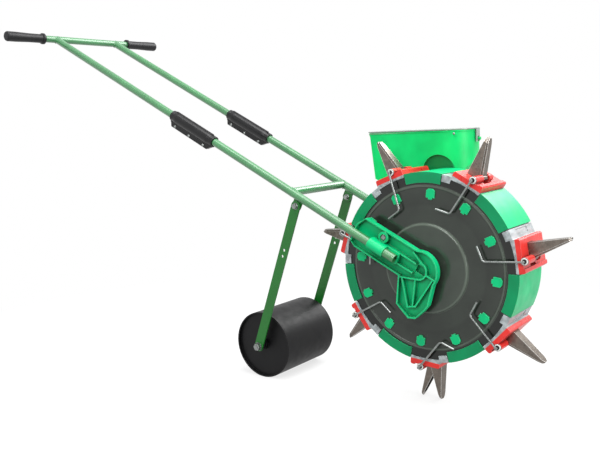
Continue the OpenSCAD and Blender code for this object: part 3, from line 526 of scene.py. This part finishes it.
class SEEDER_OT_finishes(bpy.types.Operator):
    """Gives each of the seeder's solids its material"""
    bl_idname = "seeder.finishes"
    bl_label = "Finishes"

    def execute(self, context):
        paints = context.scene.seeder_paints
        FINISHES.update(
            tube=gloss_paint("tube_gloss_paint", paints.tube),
            bars=gloss_paint("bar_gloss_paint", paints.bars, coat=0.1),
            # The rim's side faces get painted shade; the bracket, of the same plastic, doesn't
            rim=moulded_plastic("rim_polypropylene", paints.rim, 0.34, specular=0.3, sides=0.5),
            bracket=moulded_plastic("bracket_polypropylene", paints.rim, 0.34, specular=0.3),
            # The hopper's recess gets painted shade
            hopper=moulded_plastic("hopper_polyethylene", paints.hopper, 0.4, specular=0.3,
                                   recess=(HOPPER_RECESS, HOPPER_RECESS_RADIUS)),
            base=moulded_plastic("red_abs", paints.base, 0.3),
            smoke=smoked_plastic("smoked_polycarbonate", paints.smoke),
            lid=moulded_plastic("lid_polycarbonate", paints.lid, 0.25, tint=0.03),
            milky=milky_plastic("milky_polypropylene", paints.milky),
            black=moulded_plastic("black_nylon", paints.black, 0.3, bump=0.03, specular=0.4, edge_highlight_and_wear=0.08),
            rubber=grip_rubber("grip_rubber", paints.rubber),
            roller=moulded_plastic("roller_polyethylene", paints.roller, 0.45, specular=0.25, edge_highlight_and_wear=0.04),
            beak=pressed_steel("pressed_steel", paints.beak, edge_highlight_and_wear=0.9),
            zinc=pressed_steel("zinc_plate", paints.wire, 0.25),
            bush=moulded_plastic("white_nylon", paints.bush, 0.35, tint=0.04),
        )
        for finish, nodes in CLAD_NODES.items():
            clad(nodes, FINISHES[finish])
        bare = [name for name, node in NODES.items() if not node.data.materials]
        if bare:
            raise RuntimeError(f"these solids have no material: {bare}")
        return {"FINISHED"}


# ---- making small parts with Geometry Nodes ----
def new_tree(name, sizes):
    """A Geometry Nodes tree with a mesh in and out, named sizes and a finish. Gives it and its inputs."""
    tree = bpy.data.node_groups.new(name, "GeometryNodeTree")
    tree.interface.new_socket("Mesh", in_out="INPUT", socket_type="NodeSocketGeometry")
    for size in sizes:
        tree.interface.new_socket(size, in_out="INPUT", socket_type="NodeSocketFloat")
    tree.interface.new_socket("Finish", in_out="INPUT", socket_type="NodeSocketMaterial")
    tree.interface.new_socket("Mesh", in_out="OUTPUT", socket_type="NodeSocketGeometry")
    return tree, add_node(tree, "NodeGroupInput").outputs


def close_tree(tree, shape, finish, smooth=True):
    """Ends a tree: the instances become one mesh, shaded smooth or flat, in its finish."""
    whole = add_node(tree, "GeometryNodeRealizeInstances", links={"Geometry": shape})
    skin = add_node(tree, "GeometryNodeSetShadeSmooth", links={"Geometry": whole, "Shade Smooth": smooth})
    dressed = add_node(tree, "GeometryNodeSetMaterial", links={"Geometry": skin, "Material": finish})
    add_node(tree, "NodeGroupOutput", links={0: dressed})


def copies_at_points(tree, points, part):
    """Puts the part at each point, with its Z turned to the point's facing."""
    facing = add_node(tree, "GeometryNodeInputNamedAttribute", {"data_type": "FLOAT_VECTOR"}, {
        "Name": "facing"})
    turn = add_node(tree, "FunctionNodeAlignRotationToVector", {"axis": "Z"}, {
        "Vector": facing.outputs["Attribute"]})
    return add_node(tree, "GeometryNodeInstanceOnPoints", links={
        "Points": points, "Instance": part, "Rotation": turn})


def raised(tree, part, height):
    """Lifts a part by a height along Z."""
    lift = add_node(tree, "ShaderNodeCombineXYZ", links={"Z": height})
    return add_node(tree, "GeometryNodeTransform", links={"Geometry": part, "Translation": lift})


def rounded_section(tree, width, height, rounding):
    """A rectangle's outline with its corners rounded to a share of its width."""
    section = add_node(tree, "GeometryNodeCurvePrimitiveQuadrilateral", links={
        "Width": width, "Height": height})
    corner = add_node(tree, "ShaderNodeMath", TIMES, {0: width, 1: rounding})
    return add_node(tree, "GeometryNodeFilletCurve", {"mode": "POLY"}, {
        "Curve": section, "Count": 3, "Radius": corner})


# A nut's chamfered top as shares of its radius and height, and a screw's cross as shares of its head's radius
CHAMFER_TOP = 0.86
CHAMFER_HEIGHT = 0.16
CROSS_LENGTH = 1.1
CROSS_WIDTH = 0.24
# Height of a domed head as a share of its width, and step between drops of weld as a share of the bead's
HEAD_RISE = 0.3
DROP_STEP = 0.45


def nut_tree():
    """A washer, a hexagon nut with a chamfered top and the thread's end that stands out of it."""
    tree, sizes = new_tree("nut_and_washer", [
        "Washer radius", "Washer thickness", "Nut radius", "Nut height", "Thread radius", "Thread reach"])
    washer = add_node(tree, "GeometryNodeMeshCylinder", links={
        "Vertices": 28, "Radius": sizes["Washer radius"], "Depth": sizes["Washer thickness"]})
    nut = add_node(tree, "GeometryNodeMeshCylinder", links={
        "Vertices": 6, "Radius": sizes["Nut radius"], "Depth": sizes["Nut height"]})
    top_radius = add_node(tree, "ShaderNodeMath", TIMES, {0: sizes["Nut radius"], 1: CHAMFER_TOP})
    top_height = add_node(tree, "ShaderNodeMath", TIMES, {0: sizes["Nut height"], 1: CHAMFER_HEIGHT})
    chamfer = add_node(tree, "GeometryNodeMeshCone", links={
        "Vertices": 6, "Radius Bottom": sizes["Nut radius"], "Radius Top": top_radius,
        "Depth": top_height})
    thread = add_node(tree, "GeometryNodeMeshCylinder", links={
        "Vertices": 20, "Radius": sizes["Thread radius"], "Depth": sizes["Thread reach"]})
    half = {}
    for part in ("Washer thickness", "Nut height", "Thread reach"):
        half[part] = add_node(tree, "ShaderNodeMath", TIMES, {0: sizes[part], 1: 0.5})
    nut_middle = add_node(tree, "ShaderNodeMath", PLUS, {
        0: sizes["Washer thickness"], 1: half["Nut height"]})
    nut_top = add_node(tree, "ShaderNodeMath", PLUS, {0: sizes["Washer thickness"], 1: sizes["Nut height"]})
    joined = add_node(tree, "GeometryNodeJoinGeometry", links={0: [
        raised(tree, washer.outputs["Mesh"], half["Washer thickness"]),
        raised(tree, nut.outputs["Mesh"], nut_middle),
        raised(tree, chamfer.outputs["Mesh"], nut_top),
        raised(tree, thread.outputs["Mesh"], half["Thread reach"])]})
    close_tree(tree, copies_at_points(tree, sizes["Mesh"], joined), sizes["Finish"], smooth=False)
    return tree


def screw_tree():
    """A domed head with a cross recess. Its lower half is sunk in what it holds."""
    tree, sizes = new_tree("pan_head_screw", ["Head radius", "Head height"])
    squat = add_node(tree, "ShaderNodeCombineXYZ", links={
        "X": sizes["Head radius"], "Y": sizes["Head radius"], "Z": sizes["Head height"]})
    ball = add_node(tree, "GeometryNodeMeshUVSphere", links={"Segments": 24, "Rings": 12, "Radius": 1.0})
    dome = add_node(tree, "GeometryNodeTransform", links={"Geometry": ball.outputs["Mesh"], "Scale": squat})
    long_side = add_node(tree, "ShaderNodeMath", TIMES, {0: sizes["Head radius"], 1: CROSS_LENGTH})
    short_side = add_node(tree, "ShaderNodeMath", TIMES, {0: sizes["Head radius"], 1: CROSS_WIDTH})
    bars = []
    for x, y in ((long_side, short_side), (short_side, long_side)):
        size = add_node(tree, "ShaderNodeCombineXYZ", links={"X": x, "Y": y, "Z": sizes["Head height"]})
        bar = add_node(tree, "GeometryNodeMeshCube", links={"Size": size})
        bars.append(raised(tree, bar.outputs["Mesh"], sizes["Head height"]))
    cross = add_node(tree, "GeometryNodeMeshBoolean", {"operation": "DIFFERENCE", "solver": "EXACT"}, {
        "Mesh 1": dome, "Mesh 2": bars})
    close_tree(tree, copies_at_points(tree, sizes["Mesh"], cross), sizes["Finish"], smooth=False)
    return tree


def bead_tree():
    """A row of overlapping drops of weld along the edges of a mesh; the seed is fixed."""
    tree, sizes = new_tree("weld_bead", ["Bead radius", "Step"])
    path = add_node(tree, "GeometryNodeMeshToCurve", links={"Mesh": sizes["Mesh"]})
    points = add_node(tree, "GeometryNodeResampleCurve", {"mode": "LENGTH"}, {
        "Curve": path, "Length": sizes["Step"]})
    drop = add_node(tree, "GeometryNodeMeshIcoSphere", links={
        "Radius": sizes["Bead radius"], "Subdivisions": 2})
    size = add_node(tree, "FunctionNodeRandomValue", {"data_type": "FLOAT"}, {
        "Min": 0.8, "Max": 1.1, "Seed": 7})
    row = add_node(tree, "GeometryNodeInstanceOnPoints", links={
        "Points": points, "Instance": drop.outputs["Mesh"], "Scale": size.outputs["Value"]})
    close_tree(tree, row, sizes["Finish"])
    return tree


def ring_tree():
    """A round ring with a rounded section at each point."""
    tree, sizes = new_tree("round_ring", ["Ring radius", "Wall", "Width"])
    circle = add_node(tree, "GeometryNodeCurvePrimitiveCircle", links={
        "Resolution": 32, "Radius": sizes["Ring radius"]})
    section = rounded_section(tree, sizes["Wall"], sizes["Width"], 0.35)
    ring = add_node(tree, "GeometryNodeCurveToMesh", links={"Curve": circle, "Profile Curve": section})
    close_tree(tree, copies_at_points(tree, sizes["Mesh"], ring), sizes["Finish"])
    return tree


def lip_tree():
    """A rounded lip swept along the edges of a mesh."""
    tree, sizes = new_tree("moulded_lip", ["Lip height", "Lip thickness"])
    path = add_node(tree, "GeometryNodeMeshToCurve", links={"Mesh": sizes["Mesh"]})
    section = rounded_section(tree, sizes["Lip thickness"], sizes["Lip height"], 0.4)
    lip = add_node(tree, "GeometryNodeCurveToMesh", links={"Curve": path, "Profile Curve": section})
    close_tree(tree, lip, sizes["Finish"])
    return tree


def spots(places):
    """Loose points for fastenings. Each place is a point and the way its fastening faces."""
    mesh = bpy.data.meshes.new("spots")
    mesh.from_pydata([point for point, way in places], [], [])
    facing = mesh.attributes.new("facing", "FLOAT_VECTOR", "POINT")
    facing.data.foreach_set("vector", [part for point, way in places for part in way])
    return mesh


def paths(lines, closed):
    """Edges along each line of points, and from its end back to its start where the lines are closed."""
    mesh = bpy.data.meshes.new("paths")
    points, edges = [], []
    for line in lines:
        first = len(points)
        points += line
        edges += [(first + i, first + i + 1) for i in range(len(line) - 1)]
        if closed:
            edges.append((first + len(line) - 1, first))
    mesh.from_pydata(points, edges, [])
    return mesh


def show(name, mesh, body):
    """Makes a finished mesh a piece that rides on a body."""
    piece = bpy.data.objects.new(name, mesh)
    bpy.context.scene.collection.objects.link(piece)
    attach(piece, body)


def grow(name, tree, base, sizes, finish, body):
    """Runs a tree on a base mesh and shows the plain mesh that comes out."""
    seed = bpy.data.objects.new(name + "_base", base)
    bpy.context.scene.collection.objects.link(seed)
    modifier = seed.modifiers.new("grow", "NODES")
    modifier.node_group = tree
    values = dict(sizes, Finish=finish)
    for socket in tree.interface.items_tree:
        if socket.in_out == "INPUT" and socket.name in values:
            modifier[socket.identifier] = values[socket.name]
    mesh = bpy.data.meshes.new_from_object(seed.evaluated_get(bpy.context.evaluated_depsgraph_get()))
    bpy.data.objects.remove(seed)
    if not mesh.polygons:
        raise RuntimeError(f"{name} came out empty")
    show(name, mesh, body)


def fasten(name, tree, places, sizes):
    """Puts zinc-plated fastenings on the frame."""
    grow(name, tree, spots(places), sizes, FINISHES["zinc"], "frame")


def turned(profile):
    """A closed shell turned round the wheel's axle. The profile is a closed loop of (radius, y) points."""
    made = bmesh.new()
    rings = []
    for step in range(TURN_STEPS):
        angle = 2 * math.pi * step / TURN_STEPS
        rings.append([
            made.verts.new((AXLE.x + radius * math.cos(angle), y, AXLE.z + radius * math.sin(angle)))
            for radius, y in profile])
    for here, there in zip(rings, rings[1:] + rings[:1]):
        for i in range(len(profile)):
            made.faces.new((here[i - 1], here[i], there[i], there[i - 1]))
    bmesh.ops.recalc_face_normals(made, faces=made.faces)
    mesh = bpy.data.meshes.new("turned")
    made.to_mesh(mesh)
    made.free()
    return mesh


# ---- the pieces ----
def clamp_places():
    """Where the clamps' screws stand on the near side of their flanges, and their nuts on the far side."""
    heads, nuts = [], []
    for side in SIDES:
        node = "clamp_" + side
        low, high = reach(node, UP_HANDLE)
        off = reach(node, OFF_HANDLE)[0] + CLAMP_SCREW_RISE
        across = middle(node).y
        for share in CLAMP_SCREWS:
            up = low + share * (high - low)
            heads.append((on_handle(up, off, across - CLAMP_FLANGE / 2), -ACROSS))
            nuts.append((on_handle(up, off, across + CLAMP_FLANGE / 2), ACROSS))
    return heads, nuts


def strap_places():
    """Where nuts stand on both faces of the joints of bars and tabs, and on the roller axle's ends."""
    bar_nuts, axle_nuts = [], []
    for side, sign in SIDES.items():
        tab = "strap_tab_" + side
        outer = max(corner.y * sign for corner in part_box("strap_" + side))
        bolt = on_handle(sum(reach(tab, UP_HANDLE)) / 2, reach(tab, OFF_HANDLE)[0] + STRAP_WIDTH / 2, 0)
        for y, way in ((outer, sign), (TUBE_Y - TAB_THICKNESS, -sign)):
            bar_nuts.append((Vector((bolt.x, y * sign, bolt.z)), ACROSS * way))
        axle_nuts.append((Vector((ROLLER.x, outer * sign, ROLLER.z)), ACROSS * sign))
    return bar_nuts, axle_nuts


def nut_sizes(washer, nut, thread):
    """A nut's sizes. Its washer, its hexagon and its thread's end are each given as a radius and a height."""
    return {
        "Washer radius": washer[0], "Washer thickness": washer[1],
        "Nut radius": nut[0], "Nut height": nut[1],
        "Thread radius": thread[0], "Thread reach": thread[1]}


class SEEDER_OT_fastenings(bpy.types.Operator):
    """Puts the screws, nuts and washers on the frame"""
    bl_idname = "seeder.fastenings"
    bl_label = "Fastenings"

    def execute(self, context):
        sizes = context.scene.seeder_sizes
        screw, nut = screw_tree(), nut_tree()
        clamp_heads, clamp_nuts = clamp_places()
        strap_nuts, roller_nuts = strap_places()
        axle_end = Vector((AXLE.x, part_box("axle")[1].y, AXLE.z))
        clamp_head = {"Head radius": sizes.screw / 2, "Head height": sizes.screw * HEAD_RISE}
        hopper_head = {"Head radius": 0.0034, "Head height": 0.002}
        fasten("clamp_screws", screw, clamp_heads, clamp_head)
        fasten("clamp_nuts", nut, clamp_nuts, nut_sizes(
            washer=(0.0045, 0.0008), nut=(0.004, 0.0032), thread=(0.002, 0.0055)))
        fasten("strap_nuts", nut, strap_nuts, nut_sizes(
            washer=(0.0085, 0.0014), nut=(sizes.nut / 2, 0.0062), thread=(0.0039, 0.0095)))
        fasten("roller_axle_nuts", nut, roller_nuts, nut_sizes(
            washer=(0.0118, 0.0016), nut=(sizes.axle_nut / 2, 0.008), thread=(0.0058, 0.0115)))
        fasten("bracket_bolt", nut, [(on_handle(*BRACKET_POCKET), -ACROSS)], nut_sizes(
            washer=(0.0074, 0.001), nut=(0.0064, 0.0042), thread=(0.003, 0.0048)))
        fasten("axle_nut", nut, [(axle_end, ACROSS)], nut_sizes(
            washer=(0.016, 0.0016), nut=(0.0138, 0.008), thread=(0.0085, 0.0112)))
        fasten("hopper_screw", screw, [(HOPPER_SCREW, -ACROSS)], hopper_head)
        return {"FINISHED"}


class SEEDER_OT_welds(bpy.types.Operator):
    """Lays the welds where the handle's tubes meet and along the tabs of the roller's bars"""
    bl_idname = "seeder.welds"
    bl_label = "Welds"

    def execute(self, context):
        sizes = context.scene.seeder_sizes
        cross = sum(reach("cross_tube", UP_HANDLE)) / 2
        turns = [2 * math.pi * step / SEAM_STEPS for step in range(SEAM_STEPS)]
        seams, tabs = [], []
        for side, sign in SIDES.items():
            seams.append([on_handle(cross + TUBE_R * math.cos(turn), TUBE_R * math.sin(turn),
                                    sign * (TUBE_Y - TUBE_R * abs(math.cos(turn)))) for turn in turns])
            seams.append([on_handle(HANDLE_LENGTH - TUBE_R * abs(math.cos(turn)), TUBE_R * math.sin(turn),
                                    sign * TUBE_Y + TUBE_R * math.cos(turn)) for turn in turns])
            low, high = reach("strap_tab_" + side, UP_HANDLE)
            for inward in (0.0, TAB_THICKNESS):
                off = -math.sqrt(TUBE_R ** 2 - inward ** 2)
                tabs.append([on_handle(up, off, sign * (TUBE_Y - inward))
                             for up in (low + TAB_END_GAP, high - TAB_END_GAP)])
        drops = {"Bead radius": sizes.bead / 2, "Step": sizes.bead * DROP_STEP}
        for name, lines, closed in (("tab_welds", tabs, False), ("tube_welds", seams, True)):
            grow(name, bead_tree(), paths(lines, closed), drops, FINISHES["tube"], "frame")
        return {"FINISHED"}


class SEEDER_OT_lever_bushes(bpy.types.Operator):
    """Puts a white bush round each lever's pin, with a black ring inside it that darkens its middle, and a
    retaining ring on its far end
    """
    bl_idname = "seeder.lever_bushes"
    bl_label = "Lever bushes"

    def execute(self, context):
        ring = ring_tree()
        outer = context.scene.seeder_sizes.bush / 2
        near = -WHEEL_SIDE - BUSH_REACH
        dark_ring_radius = outer - BUSH_WALL - DARK_RING_GAP - DARK_RING_WALL / 2
        # Name, side, radius to the middle of the wall, wall, width, finish and slot
        rings = (
            ("bush", -1, outer - BUSH_WALL / 2, BUSH_WALL, BUSH_WIDTH, "bush", "clear_plastic"),
            ("dark_ring", -1, dark_ring_radius, DARK_RING_WALL, DARK_RING_WIDTH, "black", "black_plastic"),
            ("ring", 1, RING_RADIUS, RING_WALL, RING_WIDTH, "zinc", "bright_steel"),
        )
        for letter in BEAKS:
            pin = JOINTS[f"beak_{letter}_open"]["pos_m"]
            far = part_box("lever_" + letter)[1].y - RING_INSET
            for name, side, radius, wall, width, finish, slot in rings:
                place = Vector((pin[0], far if side > 0 else near, pin[2]))
                grow(f"lever_{name}_{letter}", ring, spots([(place, ACROSS * side)]), {
                    "Ring radius": radius, "Wall": wall, "Width": width},
                    FINISHES[finish], "beak_" + letter)
        return {"FINISHED"}


class SEEDER_OT_disc_crowns(bpy.types.Operator):
    """Turns the raised crown in the middle of each of the wheel's discs"""
    bl_idname = "seeder.disc_crowns"
    bl_label = "Disc crowns"

    def execute(self, context):
        for side, sign in SIDES.items():
            # From the bore over the flat and round its edge, as radius and height over the disc's face
            outline = [(CROWN_BORES[side], -CROWN_DEPTH_AT_BORE), (CROWN_BORES[side], CROWN_RISE)]
            for degrees in range(90, -1, -15):
                turn = math.radians(degrees)
                outline.append((CROWN_RADIUS + CROWN_RISE * math.cos(turn), CROWN_RISE * math.sin(turn)))
            outline.append((CROWN_RADIUS + CROWN_RISE, -CROWN_DEPTH_AT_EDGE))
            face = WHEEL_SIDE - DISC_FACE_DEPTH
            mesh = turned([(radius, sign * (face + height)) for radius, height in outline])
            mesh.materials.append(FINISHES["smoke"])
            show("disc_crown_" + side, mesh, "wheel")
        return {"FINISHED"}


class SEEDER_OT_hopper_trim(bpy.types.Operator):
    """Runs a moulded lip round the hopper's mouth"""
    bl_idname = "seeder.hopper_trim"
    bl_label = "Hopper trim"

    def execute(self, context):
        sizes = context.scene.seeder_sizes
        centre_y = middle("hopper_lid").y
        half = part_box("hopper_lid")[1].y - centre_y - LID_OVERHANG
        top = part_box("hopper")[1].z - sizes.lip / 2 - LIP_DROP
        line = [Vector((HOPPER_BACK, centre_y - half, top)),
                Vector((HOPPER_FRONT - HOPPER_CORNER, centre_y - half, top))]
        for sign, first in ((-1, -90), (1, 0)):
            centre = Vector((HOPPER_FRONT - HOPPER_CORNER, centre_y + sign * (half - HOPPER_CORNER), top))
            for step in range(CORNER_STEPS + 1):
                turn = math.radians(first + 90 * step / CORNER_STEPS)
                line.append(centre + HOPPER_CORNER * Vector((math.cos(turn), math.sin(turn), 0)))
        line.append(Vector((HOPPER_BACK, centre_y + half, top)))
        section = {"Lip height": sizes.lip, "Lip thickness": LIP_THICKNESS}
        grow("hopper_lip", lip_tree(), paths([line], True), section,
             FINISHES["hopper"], "frame")
        return {"FINISHED"}


# ---- studio ----
# The camera's place from the axle, in metres, and its turns in degrees
CAMERA_FROM_AXLE = Vector((0.86870, -1.69296, 0.35237))
CAMERA_YAW, CAMERA_PITCH, CAMERA_ROLL = 37.49, 7.29, -2.60
# Lamps: name, place from the seeder's middle and width in metres, and strength as a share of the key's
LAMPS = (
    ("key", (1.2, 2.6, 2.6), 2.8, 1.0),
    ("top", (0.4, -0.8, 4.2), 3.2, 0.9),
    ("fill", (0.9, -4.2, 2.4), 2.4, 0.8),
    ("side", (4.5, -0.5, 0.8), 2.2, 0.65),
)
WHITE = (1.0, 1.0, 1.0, 1.0)
FLOOR_HALF = 30.0
# The share of the floor's shadow that is kept near the seeder, and the distances over which it fades out
FLOOR_SHADOW = 0.25
SHADOW_NEAR, SHADOW_FAR = 0.6, 1.5


def background_rays(tree, path):
    """1 for rays that show the background: from the camera, off gloss or through clear plastic."""
    through = add_node(tree, "ShaderNodeMath", LARGER, {
        0: path.outputs["Is Camera Ray"], 1: path.outputs["Is Transmission Ray"]})
    return add_node(tree, "ShaderNodeMath", LARGER, {0: through, 1: path.outputs["Is Glossy Ray"]})


def white_paper():
    """Matt white paper. The camera and gloss see it white, with a shadow near the seeder that fades out."""
    material, tree = new_material("white_paper")
    path = add_node(tree, "ShaderNodeLightPath")
    place = add_node(tree, "ShaderNodeTexCoord").outputs["Object"]
    distance = add_node(tree, "ShaderNodeVectorMath", {"operation": "LENGTH"}, {0: place})
    kept = add_node(tree, "ShaderNodeMapRange", links={
        "Value": distance.outputs["Value"], "From Min": SHADOW_NEAR, "From Max": SHADOW_FAR,
        "To Min": 1 - FLOOR_SHADOW, "To Max": 1.0})
    factor = add_node(tree, "ShaderNodeMath", TIMES, {0: background_rays(tree, path), 1: kept})
    colour = add_node(tree, "ShaderNodeMix", COLOUR_MIX, {
        0: path.outputs["Is Camera Ray"], 6: linear("#8A8A8A"), 7: linear("#FAFAFA")})
    paper = add_node(tree, "ShaderNodeBsdfDiffuse", links={"Color": colour.outputs[2]})
    glow = add_node(tree, "ShaderNodeEmission", links={"Color": WHITE, "Strength": 1.0})
    mix = add_node(tree, "ShaderNodeMixShader", links={0: factor, 1: paper, 2: glow})
    finish_material(tree, mix)
    return material


def white_sky(strength):
    """A sky that is white behind the seeder, and lights it more from above than from below."""
    world = bpy.data.worlds.new("white_studio")
    world.use_nodes = True
    tree = world.node_tree
    tree.nodes.clear()
    path = add_node(tree, "ShaderNodeLightPath")
    direction = add_node(tree, "ShaderNodeTexCoord").outputs["Generated"]
    parts = add_node(tree, "ShaderNodeSeparateXYZ", links={0: direction})
    light = add_node(tree, "ShaderNodeMapRange", links={
        "Value": parts.outputs["Z"], "From Min": -0.2, "From Max": 0.9,
        "To Min": strength * 0.2, "To Max": strength})
    shown = add_node(tree, "ShaderNodeMapRange", links={
        "Value": background_rays(tree, path), "To Min": light})
    sky = add_node(tree, "ShaderNodeBackground", links={"Color": WHITE, "Strength": shown})
    add_node(tree, "ShaderNodeOutputWorld", links={"Surface": sky})
    return world


def studio_camera(lens):
    """A camera to the front right of the seeder that looks slightly down on its wheel."""
    yaw, pitch, roll = (math.radians(turn) for turn in (CAMERA_YAW, CAMERA_PITCH, CAMERA_ROLL))
    forward = Vector((-math.sin(yaw) * math.cos(pitch), math.cos(yaw) * math.cos(pitch), -math.sin(pitch)))
    level = Vector((math.cos(yaw), math.sin(yaw), 0))
    above = level.cross(forward)
    right = math.cos(roll) * level + math.sin(roll) * above
    up = math.cos(roll) * above - math.sin(roll) * level
    camera = bpy.data.objects.new("camera", bpy.data.cameras.new("camera"))
    turn = Matrix((right, up, -forward)).transposed().to_4x4()
    camera.matrix_world = Matrix.Translation(AXLE + CAMERA_FROM_AXLE) @ turn
    camera.data.lens = lens
    camera.data.sensor_width = 36
    camera.data.clip_start = 0.05
    camera.data.clip_end = 100
    return camera


def lamp(name, place, aim, width, power):
    """A round soft lamp that the camera doesn't see."""
    light = bpy.data.lights.new(name, "AREA")
    light.shape = "DISK"
    light.size = width
    light.energy = power
    made = bpy.data.objects.new(name, light)
    made.location = place
    made.visible_camera = False
    made.rotation_mode = "QUATERNION"
    made.rotation_quaternion = (aim - place).to_track_quat("-Z", "Y")
    return made


class SEEDER_OT_studio(bpy.types.Operator):
    """Makes the floor, the lights, the sky and the camera"""
    bl_idname = "seeder.studio"
    bl_label = "Studio"

    def execute(self, context):
        scene, studio = context.scene, context.scene.seeder_studio
        scene.view_settings.view_transform = "Standard"
        scene.world = white_sky(studio.sky)
        scene.camera = studio_camera(studio.lens)
        scene.collection.objects.link(scene.camera)
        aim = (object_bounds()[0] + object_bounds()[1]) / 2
        for name, offset, width, share in LAMPS:
            scene.collection.objects.link(lamp(name, aim + Vector(offset), aim, width, studio.key * share))

        floor = bpy.data.meshes.new("floor")
        corners = ((-1, -1), (1, -1), (1, 1), (-1, 1))
        floor.from_pydata([(x * FLOOR_HALF, y * FLOOR_HALF, 0) for x, y in corners], [], [(0, 1, 2, 3)])
        floor.materials.append(white_paper())
        plane = bpy.data.objects.new("floor", floor)
        scene.collection.objects.link(plane)
        plane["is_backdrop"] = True
        return {"FINISHED"}


class SEEDER_PT_panel(bpy.types.Panel):
    """Lists the steps that dress the seeder"""
    bl_idname = "SEEDER_PT_panel"
    bl_label = "Dibble wheel seeder"
    bl_space_type = "VIEW_3D"
    bl_region_type = "UI"
    bl_category = "Seeder"

    def draw(self, context):
        for operator in OPERATORS:
            self.layout.operator(operator.bl_idname)
        for group in (context.scene.seeder_paints, context.scene.seeder_sizes, context.scene.seeder_studio):
            for name in group.bl_rna.properties.keys():
                if name not in ("rna_type", "name"):
                    self.layout.prop(group, name)


OPERATORS = (SEEDER_OT_finishes, SEEDER_OT_fastenings, SEEDER_OT_welds, SEEDER_OT_lever_bushes,
             SEEDER_OT_disc_crowns, SEEDER_OT_hopper_trim, SEEDER_OT_studio)
GROUPS = {"seeder_paints": SeederPaints, "seeder_sizes": SeederSizes, "seeder_studio": SeederStudio}


def register():
    for group in GROUPS.values():
        bpy.utils.register_class(group)
    for operator in OPERATORS:
        bpy.utils.register_class(operator)
    bpy.utils.register_class(SEEDER_PT_panel)
    for name, group in GROUPS.items():
        setattr(bpy.types.Scene, name, bpy.props.PointerProperty(type=group))


def unregister():
    for name in GROUPS:
        delattr(bpy.types.Scene, name)
    bpy.utils.unregister_class(SEEDER_PT_panel)
    for operator in reversed(OPERATORS):
        bpy.utils.unregister_class(operator)
    for group in GROUPS.values():
        bpy.utils.unregister_class(group)


def main():
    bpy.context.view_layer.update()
    register()
    for operator in OPERATORS:
        group, name = operator.bl_idname.split(".")
        getattr(getattr(bpy.ops, group), name)()


if __name__ == "__main__":
    main()
